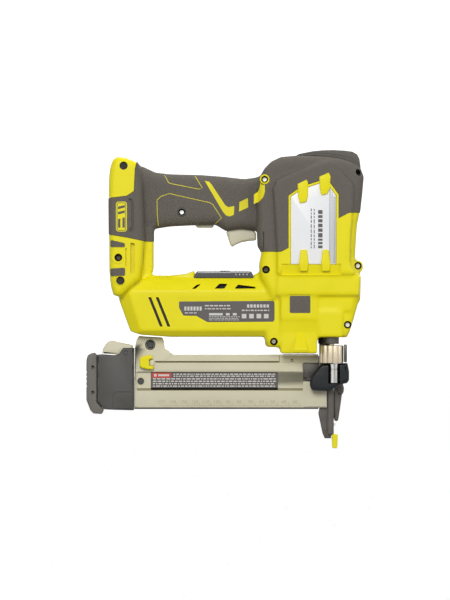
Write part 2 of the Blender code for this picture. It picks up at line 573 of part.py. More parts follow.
def build_nose():
    column = [(-8.1, 118.6), (-8.1, 37), (-9, 33), (-5, 14), (-3, 9.3), (3.1, 9.3), (3.1, 62),
              (5.5, 64), (5.5, 118.6)]
    nose = prism("nose_casting", column, -7.8, 7.8, "dark_steel")
    nose = join(nose, box("flange", (-12, -27.6, 118), (12, 14, 122)))
    nose = cut(nose, box("channel", (DRIVER_X - 2.1, -1.2, 0), (DRIVER_X + 2.1, 1.2, 130)))
    nose = cut(nose, box("feed", (-12, -1.2, 38), (0, 1.2, 79)))
    nose = cut(nose, rod("rod_hole", "Z", (WHEEL_X, WHEEL_Y), 3.6, 110, 130, sides=16))
    shade(nose)

    wheel = prism("depth_wheel", gear_outline(WHEEL_X, WHEEL_Y, 14, 10.7, 11.5),
                  81.5, 98.6, "nickel", axis="Z", edge=0.6, steps=0)
    stem = rod("depth_screw", "Z", (WHEEL_X, WHEEL_Y), 3.0, 90, 122, sides=16)
    pivot(join(wheel, stem), (WHEEL_X, WHEEL_Y, 90))
    coil("contact_spring", "Z", (WHEEL_X, WHEEL_Y), 6.6, 99.0, 117.6, 4, 0.9, "dark_steel")
    rod("depth_sleeve", "Z", (SLEEVE_X, WHEEL_Y), 5.2, 62, 80.6, "steel", 24)

    lobes = [(-9, 77.5), (-6, 80), (-2, 80.5), (12, 80.8), (17, 81.2), (18.5, 81), (20, 73),
             (20, 65), (18, 62), (15, 61.5), (12, 60), (1, 54.5), (-14, 55), (-16, 56.5),
             (-17.3, 60), (-17, 65), (-14, 71)]
    lobe = prism("contact_bracket", lobes, -25.5, -12.4, "black_plastic", edge=1.2, steps=1)
    lobe = cut(lobe, rod("sleeve_seat", "Z", (SLEEVE_X, WHEEL_Y), 5.6, 61.5, 90, sides=24))
    shade(lobe)
    arm = [(0.2, 60), (0.2, 14), (4.3, 11.5), (4.3, 5.8), (8.2, 5.8), (8.2, 9.2), (5.6, 13.5),
           (5.6, 60)]
    contact = prism("work_contact", arm, -12.0, -9.8, "dark_steel", edge=0.3, steps=0)
    contact = join(contact, box("toe", (4.4, -11.0, 5.9), (8.1, 9.0, 9.1)))
    pivot(contact, (PAD_X, 0, 9))
    pad = box("no_mar_pad", (PAD_X - 2.8, -7.5, 0), (PAD_X + 2.9, 7.5, 13.4), "yellow_plastic", 0.8)
    cut(pad, box("toe_slot", (4.1, -20, 5.6), (8.4, 20, 9.4)))

    door = box("nose_door", (3.5, -7.4, 21.0), (5.2, 7.4, 60.5), "steel", 0.3)
    door = join(door, rod("knuckle", "Y", DOOR_PIN, 1.6, -7.4, 7.4, sides=16))
    pivot(door, (DOOR_PIN[0], 0, DOOR_PIN[1]))
    latch = [(6.3, 59.3), (14.5, 61), (15.5, 57), (15, 53), (13.5, 51), (12, 40), (10, 27),
             (9, 25.5), (6.5, 26), (5.7, 29), (5.7, 52)]
    lever = prism("jam_latch", latch, -6, 6, "dark_steel", edge=0.6, steps=0)
    pivot(join(lever, rod("latch_pin", "Y", LATCH_PIN, 1.4, -7.4, 7.4, sides=12)),
          (LATCH_PIN[0], 0, LATCH_PIN[1]))


def place_in_world():
    """Hangs every part from one empty, which moves the pad's centre to the origin."""
    bpy.context.view_layer.update()
    frame = bpy.data.objects.new("nailer_frame", None)
    nailer.objects.link(frame)
    frame.location = (-PAD_X * MM, 0, 0)
    for obj in nailer.objects:
        if obj is not frame:
            obj.parent = frame


clear_scene()
nailer = bpy.data.collections.new("brad_nailer")
bpy.context.scene.collection.children.link(nailer)
build_housing()
build_screws()
build_head_trim()
build_motor()
build_compressor()
build_driver()
build_battery_end()
build_trigger()
build_magazine()
build_nose()
place_in_world()
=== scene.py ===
import math
import random

import bmesh
import bpy
from mathutils import Matrix, Vector
from mathutils.bvhtree import BVHTree


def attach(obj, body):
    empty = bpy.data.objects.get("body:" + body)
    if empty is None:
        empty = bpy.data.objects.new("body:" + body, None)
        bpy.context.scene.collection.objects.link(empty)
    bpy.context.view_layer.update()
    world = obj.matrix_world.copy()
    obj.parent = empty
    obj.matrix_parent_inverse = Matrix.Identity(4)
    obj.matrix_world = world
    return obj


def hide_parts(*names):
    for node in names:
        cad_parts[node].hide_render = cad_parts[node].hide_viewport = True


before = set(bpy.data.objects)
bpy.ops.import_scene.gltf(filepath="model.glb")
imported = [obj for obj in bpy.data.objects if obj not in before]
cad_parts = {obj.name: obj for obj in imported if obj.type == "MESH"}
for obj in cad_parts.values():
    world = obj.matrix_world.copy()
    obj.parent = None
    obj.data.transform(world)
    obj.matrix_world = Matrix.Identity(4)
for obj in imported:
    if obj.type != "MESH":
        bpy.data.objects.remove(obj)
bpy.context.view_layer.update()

# Lengths are millimetres in the tool's own frame: X = 0 on the driver, Y = 0 on the
# parting plane, Z = 0 under the pad.  toRow brings a finished piece to the row frame.
mm = 0.001
padX = 6.6
# centres of the depth wheel and its sleeve, as (X, Y)
wheelAt, sleeveAt = (3.0, -19.8), (5.7, -19.8)
toRow = Matrix.Translation((-padX * mm, 0, 0)) @ Matrix.Scale(mm, 4)
sides = (-1, 1)

turnTo = {
    "X": Matrix(((0, 0, 1, 0), (1, 0, 0, 0), (0, 1, 0, 0), (0, 0, 0, 1))),
    "Y": Matrix(((1, 0, 0, 0), (0, 0, -1, 0), (0, 1, 0, 0), (0, 0, 0, 1))),
    "Z": Matrix.Identity(4),
}


# making and cutting meshes

def newPiece(name, mesh):
    piece = bpy.data.objects.new(name, mesh)
    bpy.context.scene.collection.objects.link(piece)
    return piece


def settle(piece):
    # turns curves and modifiers into a plain mesh
    bpy.context.view_layer.update()
    graph = bpy.context.evaluated_depsgraph_get()
    mesh = bpy.data.meshes.new_from_object(piece.evaluated_get(graph))
    mesh.transform(piece.matrix_world)
    name = piece.name
    bpy.data.objects.remove(piece)
    work = bmesh.new()
    work.from_mesh(mesh)
    bmesh.ops.remove_doubles(work, verts=work.verts, dist=0.0005)
    work.to_mesh(mesh)
    work.free()
    mesh.materials.clear()
    return newPiece(name, mesh)


def roundCorners(points, radius=1.0):
    # a third number in a point is that corner's own radius
    rounded = []
    count = len(points)
    for i, point in enumerate(points):
        here = Vector(point[:2])
        before, after = Vector(points[i - 1][:2]), Vector(points[(i + 1) % count][:2])
        wish = point[2] if len(point) > 2 else radius
        back, ahead = before - here, after - here
        between = back.angle(ahead, math.pi)
        if wish <= 0 or between > math.radians(176):
            rounded.append(tuple(here))
            continue
        reach = min(wish / math.tan(between / 2), 0.45 * back.length, 0.45 * ahead.length)
        start, end = here + back.normalized() * reach, here + ahead.normalized() * reach
        steps = max(2, math.ceil(math.degrees(math.pi - between) / 16))
        for k in range(steps + 1):
            t = k / steps
            spot = start * (1 - t) ** 2 + here * 2 * t * (1 - t) + end * t * t
            rounded.append(tuple(spot))
    return rounded


def slab(name, outline, low, high, edge=0.0, steps=2, axis="Y", corner=0.0, inset=0.0):
    # an outline with rounded rims, made thick along an axis; holes follow the outer outline
    outlines = [outline] if isinstance(outline[0][0], (int, float)) else outline
    curve = bpy.data.curves.new(name, "CURVE")
    curve.dimensions = "2D"
    curve.fill_mode = "BOTH"
    for ring in outlines:
        ring = roundCorners(ring, corner)
        spline = curve.splines.new("POLY")
        spline.points.add(len(ring) - 1)
        spline.use_cyclic_u = True
        for spot, (u, v) in zip(spline.points, ring):
            spot.co = (u, v, 0, 1)
    curve.extrude = (high - low) / 2 - edge
    curve.bevel_depth = edge
    curve.bevel_resolution = steps
    curve.offset = -(edge + inset)
    middle = (low + high) / 2
    piece = newPiece(name, curve)
    piece.matrix_world = Matrix.Translation(
        {"X": (middle, 0, 0), "Y": (0, middle, 0), "Z": (0, 0, middle)}[axis]) @ turnTo[axis]
    return settle(piece)


def oblong(left, right, low, high):
    return [(left, low), (left, high), (right, high), (right, low)]


def sideSlab(name, outline, side, near, far, **more):
    # a slab on one side of the parting plane, between two distances from it
    return slab(name, outline, *sorted((side * near, side * far)), **more)


def block(name, low, high, edge=0.0, steps=2):
    low, high = Vector(low), Vector(high)
    work = bmesh.new()
    bmesh.ops.create_cube(work, size=1.0, matrix=Matrix.Translation((low + high) / 2)
                          @ Matrix.Diagonal((*(high - low), 1.0)))
    if edge:
        bmesh.ops.bevel(work, geom=work.edges, offset=edge, segments=steps, profile=0.5,
                        affect="EDGES")
    return fromWork(name, work)


def fromWork(name, work):
    mesh = bpy.data.meshes.new(name)
    work.to_mesh(mesh)
    work.free()
    return newPiece(name, mesh)


def bar(name, axis, at, radius, low, high, facets=32):
    work = bmesh.new()
    bmesh.ops.create_cone(work, cap_ends=True, segments=facets, radius1=radius, radius2=radius,
                          depth=high - low)
    middle = (low + high) / 2
    place = {"X": (middle, at[0], at[1]), "Y": (at[0], middle, at[1]),
             "Z": (at[0], at[1], middle)}[axis]
    work.transform(Matrix.Translation(place) @ turnTo[axis])
    return fromWork(name, work)


def lathe(name, axis, at, profile, facets=48):
    # profile is (radius, height) from the top down; it closes at radius 0 or on itself
    work = bmesh.new()
    spots = [work.verts.new((r, 0, h)) for r, h in profile]
    for a, b in zip(spots, spots[1:]):
        work.edges.new((a, b))
    if profile[0][0] > 0:
        work.edges.new((spots[-1], spots[0]))
    bmesh.ops.spin(work, geom=work.verts[:] + work.edges[:], cent=(0, 0, 0), axis=(0, 0, 1),
                   angle=math.tau, steps=facets)
    bmesh.ops.remove_doubles(work, verts=work.verts, dist=0.001)
    bmesh.ops.recalc_face_normals(work, faces=work.faces)
    place = {"X": (0, at[0], at[1]), "Y": (at[0], 0, at[1]), "Z": (at[0], at[1], 0)}[axis]
    work.transform(Matrix.Translation(place) @ turnTo[axis])
    return fromWork(name, work)


def merged(name, *pieces):
    # puts meshes in one object without cutting them
    work = bmesh.new()
    for piece in pieces:
        work.from_mesh(piece.data)
        bpy.data.objects.remove(piece)
    return fromWork(name, work)


def combine(piece, tools, way="DIFFERENCE"):
    group = bpy.data.collections.new("tools")
    for tool in tools:
        group.objects.link(tool)
    step = piece.modifiers.new(way, "BOOLEAN")
    step.operation = way
    step.solver = "EXACT"
    step.operand_type = "COLLECTION"
    step.collection = group
    result = settle(piece)
    for tool in tools:
        bpy.data.objects.remove(tool)
    bpy.data.collections.remove(group)
    return result


def copyOf(piece, name):
    return newPiece(name, piece.data.copy())


def mirrored(piece, name):
    # the same piece on the other side of the parting plane
    twin = copyOf(piece, name)
    twin.data.transform(Matrix.Diagonal((1, -1, 1, 1)))
    twin.data.flip_normals()
    return twin


def bothSides(name, piece):
    return merged(name, piece, mirrored(piece, name + "Far"))


def melt(name, forms, voxel, rounds, factor=0.5):
    # runs overlapping forms together into one skin with soft inner corners
    piece = merged(name, *forms)
    remesh = piece.modifiers.new("skin", "REMESH")
    remesh.mode = "VOXEL"
    remesh.voxel_size = voxel
    soften = piece.modifiers.new("soften", "SMOOTH")
    soften.factor = factor
    soften.iterations = rounds
    return settle(piece)


def grown(piece, distance):
    step = piece.modifiers.new("grow", "DISPLACE")
    step.mid_level = 0.0
    step.strength = distance
    return settle(piece)


def smoothShade(piece, angle=30):
    piece.data.shade_smooth()
    piece.data.set_sharp_from_angle(angle=math.radians(angle))
    return piece


def finishPiece(piece, look, body, slot, *nodes, angle=30):
    smoothShade(piece, angle)
    piece.data.transform(toRow)
    piece.data.materials.clear()
    piece.data.materials.append(look)
    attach(piece, body)
    if nodes:
        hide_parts(*nodes)
    return piece


def surfaceOf(*pieces):
    work = bmesh.new()
    for piece in pieces:
        work.from_mesh(piece.data)
    tree = BVHTree.FromBMesh(work)
    work.free()
    return tree


def touch(tree, x, z, side):
    # where a line along Y meets the skin on one side
    return tree.ray_cast(Vector((x, side * 80, z)), Vector((0, -side, 0)))[:2]


def patch(name, tree, outline, side, height, depth=0.6, grid=3.0, corner=0.0):
    # a thin inlay that follows the skin under an outline
    ring = roundCorners(outline, corner)
    work = bmesh.new()
    face = work.faces.new([work.verts.new((x, 0, z)) for x, z in ring])
    xs, zs = [p[0] for p in ring], [p[1] for p in ring]
    for low, high, normal in ((min(xs), max(xs), (1, 0, 0)), (min(zs), max(zs), (0, 0, 1))):
        steps = int((high - low) / grid)
        for i in range(1, steps + 1):
            cut = low + i * (high - low) / (steps + 1)
            bmesh.ops.bisect_plane(work, geom=work.verts[:] + work.edges[:] + work.faces[:],
                                   plane_co=Vector(normal) * cut, plane_no=normal, dist=0.01)
    under = {}
    for vert in work.verts:
        spot, normal = touch(tree, vert.co.x, vert.co.z, side)
        under[vert] = spot.y if spot else None
    known = [y for y in under.values() if y is not None] or [0.0]
    middle = sorted(known)[len(known) // 2]
    for vert, y in under.items():
        vert.co.y = (middle if y is None or abs(y - middle) > 12 else y) - side * depth
    raised = bmesh.ops.extrude_face_region(work, geom=work.faces[:])
    for item in raised["geom"]:
        if isinstance(item, bmesh.types.BMVert):
            item.co.y += side * (depth + height)
    bmesh.ops.recalc_face_normals(work, faces=work.faces)
    return fromWork(name, work)


def strip(points, width):
    # the outline of a line with some width along an open run of points
    left, right = [], []
    for i, point in enumerate(points):
        here = Vector(point)
        before = Vector(points[max(i - 1, 0)])
        after = Vector(points[min(i + 1, len(points) - 1)])
        across = (after - before).normalized().orthogonal() * width / 2
        left.append(tuple(here + across))
        right.append(tuple(here - across))
    return left + right[::-1]


def closedStrip(points, width):
    return [strip([points[i], points[(i + 1) % len(points)]], width) for i in range(len(points))]


def inside(x, z, ring):
    hit = False
    for (ax, az), (bx, bz) in zip(ring, ring[1:] + ring[:1]):
        if (az > z) != (bz > z) and x < (bx - ax) * (z - az) / (bz - az) + ax:
            hit = not hit
    return hit


def circle(x, z, radius, facets=32, start=0.0):
    return [(x + radius * math.cos(start + math.tau * i / facets),
             z + radius * math.sin(start + math.tau * i / facets)) for i in range(facets)]


# finishes, all procedural in the piece's own coordinates

def startLook(name, colour, rough, metal):
    look = bpy.data.materials.new(name)
    look.use_nodes = True
    tree = look.node_tree
    shader = tree.nodes["Principled BSDF"]
    shader.inputs["Base Color"].default_value = (*colour, 1.0)
    shader.inputs["Roughness"].default_value = rough
    shader.inputs["Metallic"].default_value = metal
    return look, tree, shader


def coordinates(tree, stretch=(1, 1, 1)):
    place = tree.nodes.new("ShaderNodeTexCoord")
    mapping = tree.nodes.new("ShaderNodeMapping")
    mapping.inputs["Scale"].default_value = stretch
    tree.links.new(place.outputs["Object"], mapping.inputs["Vector"])
    return mapping.outputs["Vector"]


def noiseAt(tree, where, size, detail=3.0, rough=0.55):
    # size is the width of one blotch in millimetres
    cloud = tree.nodes.new("ShaderNodeTexNoise")
    cloud.inputs["Scale"].default_value = 1 / (size * mm)
    cloud.inputs["Detail"].default_value = detail
    cloud.inputs["Roughness"].default_value = rough
    tree.links.new(where, cloud.inputs["Vector"])
    return cloud.outputs["Fac"]


def ramp(tree, value, stops):
    node = tree.nodes.new("ShaderNodeValToRGB")
    keys = node.color_ramp.elements
    while len(keys) < len(stops):
        keys.new(0.5)
    for key, (at, colour) in zip(keys, stops):
        key.position = at
        key.color = (*colour, 1.0) if len(colour) == 3 else colour
    tree.links.new(value, node.inputs["Fac"])
    return node.outputs["Color"]


def spread(tree, value, low, high, fromLow=0.3, fromHigh=0.7):
    node = tree.nodes.new("ShaderNodeMapRange")
    node.inputs["From Min"].default_value = fromLow
    node.inputs["From Max"].default_value = fromHigh
    node.inputs["To Min"].default_value = low
    node.inputs["To Max"].default_value = high
    tree.links.new(value, node.inputs["Value"])
    return node.outputs["Result"]


def bumpFrom(tree, shader, value, strength, distance, after=None):
    node = tree.nodes.new("ShaderNodeBump")
    node.inputs["Strength"].default_value = strength
    node.inputs["Distance"].default_value = distance * mm
    tree.links.new(value, node.inputs["Height"])
    if after:
        tree.links.new(after, node.inputs["Normal"])
    tree.links.new(node.outputs["Normal"], shader.inputs["Normal"])
    return node.outputs["Normal"]


def shadeOf(colour, factor):
    return tuple(min(1.0, c * factor) for c in colour)


def moulded(name, make):
    # moulded plastic or rubber: broad unevenness of tone, fine grain, and varied gloss
    look, tree, shader = startLook(name, make["colour"], make["rough"], 0.0)
    where = coordinates(tree)
    broad = noiseAt(tree, where, make.get("blotch", 30), 2)
    fine = noiseAt(tree, where, make["grain"], 2, 0.6)
    tone = ramp(tree, broad, [(0.25, shadeOf(make["colour"], 1 - make["mottle"])),
                              (0.75, shadeOf(make["colour"], 1 + make["mottle"]))])
    if make.get("speckle"):
        blend = tree.nodes.new("ShaderNodeMix")
        blend.data_type = "RGBA"
        blend.blend_type = "MULTIPLY"
        blend.inputs["Factor"].default_value = 1.0
        dots = ramp(tree, fine, [(0.35, (1 - make["speckle"],) * 3), (0.6, (1.0,) * 3)])
        tree.links.new(tone, blend.inputs["A"])
        tree.links.new(dots, blend.inputs["B"])
        tone = blend.outputs["Result"]
    tree.links.new(tone, shader.inputs["Base Color"])
    tree.links.new(spread(tree, broad, make["rough"] - 0.06, make["rough"] + 0.06),
                   shader.inputs["Roughness"])
    bumpFrom(tree, shader, fine, make["bump"], make.get("rise", 0.08))
    shader.inputs["Specular IOR Level"].default_value = make.get("shine", 0.4)
    if make.get("coat"):
        shader.inputs["Coat Weight"].default_value = make["coat"]
        shader.inputs["Coat Roughness"].default_value = 0.1
    return look


def machined(name, make):
    # metal with fine tool marks drawn out along one direction
    look, tree, shader = startLook(name, make["colour"], make["rough"], make.get("metal", 1.0))
    lines = noiseAt(tree, coordinates(tree, make.get("stretch", (1, 1, 12))), make["grain"], 4)
    broad = noiseAt(tree, coordinates(tree, make.get("banding", (1, 1, 1))),
                    make.get("blotch", 12), 3)
    tree.links.new(ramp(tree, broad, [(0.3, shadeOf(make["colour"], 1 - make["mottle"])),
                                      (0.7, shadeOf(make["colour"], 1 + make["mottle"]))]),
                   shader.inputs["Base Color"])
    tree.links.new(spread(tree, lines, make["rough"] - 0.1, make["rough"] + 0.12),
                   shader.inputs["Roughness"])
    bumpFrom(tree, shader, lines, make["bump"], 0.03)
    return look


looks = {
    "yellow": moulded("yellowPlastic", {"colour": (0.86, 0.76, 0.0), "rough": 0.4, "grain": 0.9,
                                        "mottle": 0.03, "bump": 0.12, "shine": 0.22}),
    "yellowDeep": moulded("yellowInlay", {"colour": (0.80, 0.70, 0.0), "rough": 0.5, "grain": 0.8,
                                          "mottle": 0.04, "bump": 0.15, "shine": 0.3}),
    "rubber": moulded("greyRubber", {"colour": (0.125, 0.112, 0.092), "rough": 0.72,
                                     "grain": 1.3, "mottle": 0.07, "bump": 0.5, "rise": 0.16,
                                     "speckle": 0.16, "shine": 0.3}),
    "rubberSmooth": moulded("smoothRubber", {"colour": (0.10, 0.092, 0.078), "rough": 0.6,
                                             "grain": 0.8, "mottle": 0.05, "bump": 0.2,
                                             "shine": 0.3}),
    "rubberPip": moulded("pipRubber", {"colour": (0.15, 0.135, 0.112), "rough": 0.6,
                                       "grain": 0.6, "mottle": 0.05, "bump": 0.2,
                                       "shine": 0.35}),
    "blackPlastic": moulded("blackPlastic", {"colour": (0.055, 0.053, 0.047), "rough": 0.5,
                                             "grain": 1.0, "mottle": 0.08, "bump": 0.4,
                                             "rise": 0.12, "speckle": 0.15, "shine": 0.45}),
    "greyPlastic": moulded("greyPlastic", {"colour": (0.14, 0.128, 0.11), "rough": 0.55,
                                           "grain": 0.9, "mottle": 0.06, "bump": 0.3,
                                           "shine": 0.4}),
    "cream": moulded("creamPlastic", {"colour": (0.66, 0.62, 0.45), "rough": 0.42, "grain": 0.8,
                                      "mottle": 0.025, "bump": 0.12, "shine": 0.4}),
    "glossBlack": moulded("glossBlack", {"colour": (0.012, 0.014, 0.014), "rough": 0.16,
                                         "grain": 2.5, "mottle": 0.1, "bump": 0.03,
                                         "shine": 0.6, "coat": 0.6}),
    "satinBlack": moulded("satinBlack", {"colour": (0.006, 0.008, 0.009), "rough": 0.42,
                                         "grain": 1.6, "mottle": 0.1, "bump": 0.08,
                                         "shine": 0.22}),
    # painted shade: a darker olive cream for strips that stand for the shade on the magazine's
    # ledges and in its groove
    "olive": moulded("recessShade", {"colour": (0.25, 0.23, 0.13), "rough": 0.5,
                                     "grain": 0.8, "mottle": 0.05, "bump": 0.12}),
    # painted shade: a darker cream for the ruler's numbers and lines, standing for the shade of
    # their relief
    "creamShade": moulded("creamReliefShade", {"colour": (0.50, 0.46, 0.31), "rough": 0.45,
                                          "grain": 0.8, "mottle": 0.03, "bump": 0.12,
                                          "shine": 0.3}),
    "label": moulded("labelFilm", {"colour": (0.07, 0.062, 0.058), "rough": 0.35, "grain": 2.0,
                                   "mottle": 0.05, "bump": 0.05, "shine": 0.5}),
    "print": moulded("lightPrint", {"colour": (0.62, 0.60, 0.56), "rough": 0.45, "grain": 1.5,
                                    "mottle": 0.04, "bump": 0.05}),
    "redPrint": moulded("redPrint", {"colour": (0.55, 0.05, 0.03), "rough": 0.4, "grain": 1.5,
                                     "mottle": 0.06, "bump": 0.05}),
    "plate": moulded("silverPlate", {"colour": (0.80, 0.81, 0.83), "rough": 0.38, "grain": 0.7,
                                     "mottle": 0.02, "bump": 0.08, "shine": 0.6}),
    # painted shade: a grey for bands that stand for shade on the window plate
    "plateShade": moulded("plateShade", {"colour": (0.48, 0.49, 0.51), "rough": 0.38,
                                         "grain": 0.7, "mottle": 0.04, "bump": 0.08}),
    # painted shade: near-black for the dark insides of holes, screw wells and air slots
    "dark": moulded("paintedInsideShade", {"colour": (0.02, 0.02, 0.018), "rough": 0.7, "grain": 1.5,
                                   "mottle": 0.1, "bump": 0.3}),
    "steel": machined("steel", {"colour": (0.60, 0.59, 0.57), "rough": 0.32, "grain": 1.2,
                                "mottle": 0.06, "bump": 0.2}),
    "drawn": machined("drawnSteel", {"colour": (0.48, 0.47, 0.45), "rough": 0.2, "grain": 1.0,
                                     "mottle": 0.85, "bump": 0.1, "blotch": 4,
                                     "banding": (1, 1, 0.02), "stretch": (4, 4, 0.3)}),
    "darkSteel": machined("darkSteel", {"colour": (0.075, 0.068, 0.06), "rough": 0.42,
                                        "grain": 1.0, "mottle": 0.14, "bump": 0.35,
                                        "metal": 0.7}),
    "blackScrew": machined("blackScrew", {"colour": (0.05, 0.05, 0.048), "rough": 0.4,
                                          "grain": 0.7, "mottle": 0.1, "bump": 0.2,
                                          "metal": 0.6}),
    "nickel": machined("nickelPlate", {"colour": (0.52, 0.45, 0.33), "rough": 0.34,
                                       "grain": 0.9, "mottle": 0.08, "bump": 0.2,
                                       "metal": 0.85}),
    "aluminium": machined("castAluminium", {"colour": (0.58, 0.59, 0.60), "rough": 0.5,
                                            "grain": 0.8, "mottle": 0.08, "bump": 0.5,
                                            "stretch": (1, 1, 1)}),
    "copper": machined("copperWire", {"colour": (0.62, 0.27, 0.13), "rough": 0.35,
                                      "grain": 0.6, "mottle": 0.12, "bump": 0.6,
                                      "stretch": (10, 1, 1)}),
    "board": moulded("circuitBoard", {"colour": (0.02, 0.2, 0.07), "rough": 0.4, "grain": 1.6,
                                      "mottle": 0.15, "bump": 0.2, "shine": 0.5}),
}
print("finishes made")

# nodes that keep their CAD shape only take a finish
carried = {
    "aluminium": ["compressor_cylinder", "compressor_piston", "connecting_rod",
                  "cylinder_head", "drive_cylinder", "drive_piston"],
    "steel": ["motor_can", "gear_carrier", "crank_wheel", "planet_gear_1", "planet_gear_2",
              "planet_gear_3", "driver_blade", "trigger_spring", "pusher_spring"],
    "darkSteel": ["ring_gear", "magazine_rail", "contact_spring"],
    "copper": ["motor_rotor"],
    "board": ["circuit_board"],
    "blackPlastic": ["trigger_switch", "nail_pusher", "battery_receiver"],
    "greyPlastic": ["battery_contacts", "pressure_dial"],
    "rubberSmooth": ["drive_bumper", "mode_button"],
}
for lookName, nodes in carried.items():
    for node in nodes:
        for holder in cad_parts[node].material_slots:
            holder.material = looks[lookName]


# bodywork

bodySizes = {
    "footHalf": 38.0, "stemHalf": 20.0, "gripHalf": 17.5, "headHalf": 34.0, "padHalf": 39.0,
    "tubeHalf": 30.0, "chinHalf": 31.0, "voxel": 1.3, "soften": 7,
    "wall": 4.7,               # rubber and wall together
    "rubberProud": 0.4,        # how far the rubber stands above the yellow
    "seam": 0.35,              # gap between two mouldings
}
footLine = [(-208.6, 231), (-208.4, 256), (-207.4, 266), (-204.8, 274), (-200, 277.4),
            (-192, 276.4), (-180, 271.6), (-176, 250), (-174, 200), (-176, 172), (-178, 160),
            (-190, 150), (-197, 143.6), (-204, 145), (-206.6, 154), (-208, 168)]
stemLine = [(-186, 154), (-176, 158), (-168, 164.5), (-165.5, 170), (-165.5, 212), (-186, 212)]
gripLine = [(-190, 270), (-176, 268), (-164, 262.4), (-150, 260.8), (-120, 260), (-100, 258.5),
            (-80, 256.2), (-70, 257.4), (-48, 264), (-48, 208), (-70, 207), (-83, 208.5),
            (-97, 206.5), (-107, 212.6), (-130, 212), (-150, 211), (-163, 209), (-190, 206)]
headLine = [(-55, 140), (-65, 162), (-66, 175), (-63.5, 187), (-67, 192), (-67.5, 206),
            (-67.5, 246), (-65.5, 257), (-60.5, 266), (-54, 272.5), (-45, 276.8),
            (-30, 278.2), (-15, 278), (0, 277), (12, 275.2), (22, 272), (30.5, 267),
            (33.9, 258), (32.6, 243), (30.6, 225), (28, 213), (27, 200), (26, 182), (29.5, 168),
            (31.6, 163), (31, 140)]
padLine = [(-49, 164.5), (-49, 190), (-51, 225), (-52.5, 247), (-49, 254.5), (-38, 260),
           (-20, 266.5), (-8, 271), (-1, 273.6, 5), (5, 272, 5), (17, 258), (24, 251),
           (24.5, 243), (23.5, 225), (21.5, 200), (21, 176), (27, 164.5)]
tubeLine = [(-199.4, 142), (-191, 119), (-188, 110.8), (-178, 107.6), (-150, 105.5), (-45, 105.5),
            (-45, 165), (-168, 164.8), (-177, 159), (-190, 150)]
chinLine = [(-58, 150), (-60.4, 105), (-57, 95.8), (-46, 95.6), (-45.8, 90.2), (-10.5, 90.2),
            (-9.8, 105),
            (18, 105), (21, 111), (25, 124), (29, 138), (30, 150)]
rubberLine = [(-216, 236.5), (-191, 239.5), (-184, 244), (-183, 265), (-181, 274),
              (-175, 295), (60, 295), (60, 224), (20, 224), (10, 219), (10, 241),
              (2, 252), (-8.5, 254), (-19, 250.8), (-29.5, 246), (-38, 240), (-38, 190.5),
              (-45, 187), (-84, 187), (-110, 195), (-173.5, 196.8), (-190, 200.3),
              (-216, 204.6)]
windowLine = [(-35.5, 175), (-35.5, 239), (-29, 243.5), (-19, 248), (-8.5, 251.5), (0, 250),
              (7.5, 240), (7.5, 175)]
consoleLine = [(-129, 161.4), (-124.5, 168.3), (-73, 168.3), (-69.5, 161.4)]
# wells for the housing screws; headRoom is how far a well's floor lies inside its seat depth
screwWell = {"radius": 3.7, "headRoom": 2.5, "wellShade": 0.4, "sunk": 0.4, "reach": 60}
# housing screws: X, Z and the depth of the seat from the parting plane
screwPlaces = [(-139, 224.5, 12), (-60.3, 255.4, 26), (-59, 169.8, 26), (28.5, 173.5, 10),
               (18.5, 117.5, 22), (-51.5, 101.5, 10), (-199, 181.2, 30)]


def across(name, outline, half, edge, steps=3, corner=0.0, inset=0.0):
    return slab(name, outline, -half, half, edge, steps, corner=corner, inset=inset)


def motorTube():
    # the side outline meets a section with a sloping shoulder, and the far end is chamfered
    half = bodySizes["tubeHalf"]
    section = [(-half, 112), (-half, 149.6), (5.6 - half, 160.4), (12 - half, 165.5),
               (half - 12, 165.5), (half - 5.6, 160.4), (half, 149.6), (half, 112),
               (half - 7, 105), (7 - half, 105)]
    tube = slab("tube", section, -205, -45, 0, axis="X", corner=0.8)
    tube = combine(tube, [across("side", tubeLine, 50, 0, 0, corner=2)], "INTERSECT")
    chamfers = []
    for side in sides:
        wedge = slab("wedge", [(-183, side * 30.4), (-206, side * 16), (-230, side * 16),
                               (-230, side * 50), (-183, side * 50)], 80, 180, axis="Z")
        for vert in wedge.data.vertices:
            vert.co.x -= 0.31 * (vert.co.z - 130)
        chamfers.append(wedge)
    return combine(tube, chamfers)


def bodyForms():
    size = bodySizes
    forms = [
        across("foot", footLine, size["footHalf"], 6),
        across("stem", stemLine, size["stemHalf"], 3),
        across("grip", gripLine, size["gripHalf"], 10, 4),
        across("head", headLine, size["headHalf"], 8, 4),
        across("pad", padLine, size["padHalf"], 2.5, 2, corner=3),
        motorTube(),
        across("chin", chinLine, size["chinHalf"], 5, 3),
    ]
    # lower head: band, block in two steps, raised cover, screw bosses and console ends
    for outline, half, edge, corner in (
            ([(-49.5, 144.5), (-49.5, 164.8), (31, 164.8), (29.8, 144.5)], 36.2, 2.6, 1.5),
            (oblong(-45.6, -10, 122, 148), 34.5, 1.2, 1.0),
            (oblong(-45.6, -10, 89.9, 125), 31.8, 1.2, 1.0),
            ([(-9.2, 105.3), (-9.2, 132), (14, 132, 6), (14, 105.3)], 33.6, 1.4, 2.0),
            ([(-9.2, 130), (-9.2, 147), (27, 147), (22, 130)], 32.4, 1.2, 1.0),
            ([(20.5, 176), (23.5, 181), (33.2, 177.5), (34, 171), (30.5, 166), (24, 164)],
             14, 1.5, 1.5),
            ([(-60, 97.5), (-61, 107), (-46, 110), (-43, 96.5), (-57, 95.6)], 14, 1.5, 1.5),
            ([(-150, 160), (-150, 164.8, 8), (-135, 166.3, 6), (-125.6, 170), (-128, 160)],
             22.5, 1.2, 1.5),
            ([(-71, 160), (-70.5, 165), (-66, 168), (-60, 170), (-60, 160)], 22.5, 1.2, 1.5)):
        forms.append(across("step", outline, half, edge, 2, corner=corner))
    for side in sides:
        # a slope under the upper part of the block
        forms.append(slab("slope", [(side * 20, 126), (side * 34.3, 126), (side * 31.8, 110.5),
                                    (side * 20, 110.5)], -45.4, -10.2, 0.3, axis="X"))
    return forms


solid = melt("solid", bodyForms(), bodySizes["voxel"], bodySizes["soften"])
print("body melted", len(solid.data.polygons))


# openings in the bodywork

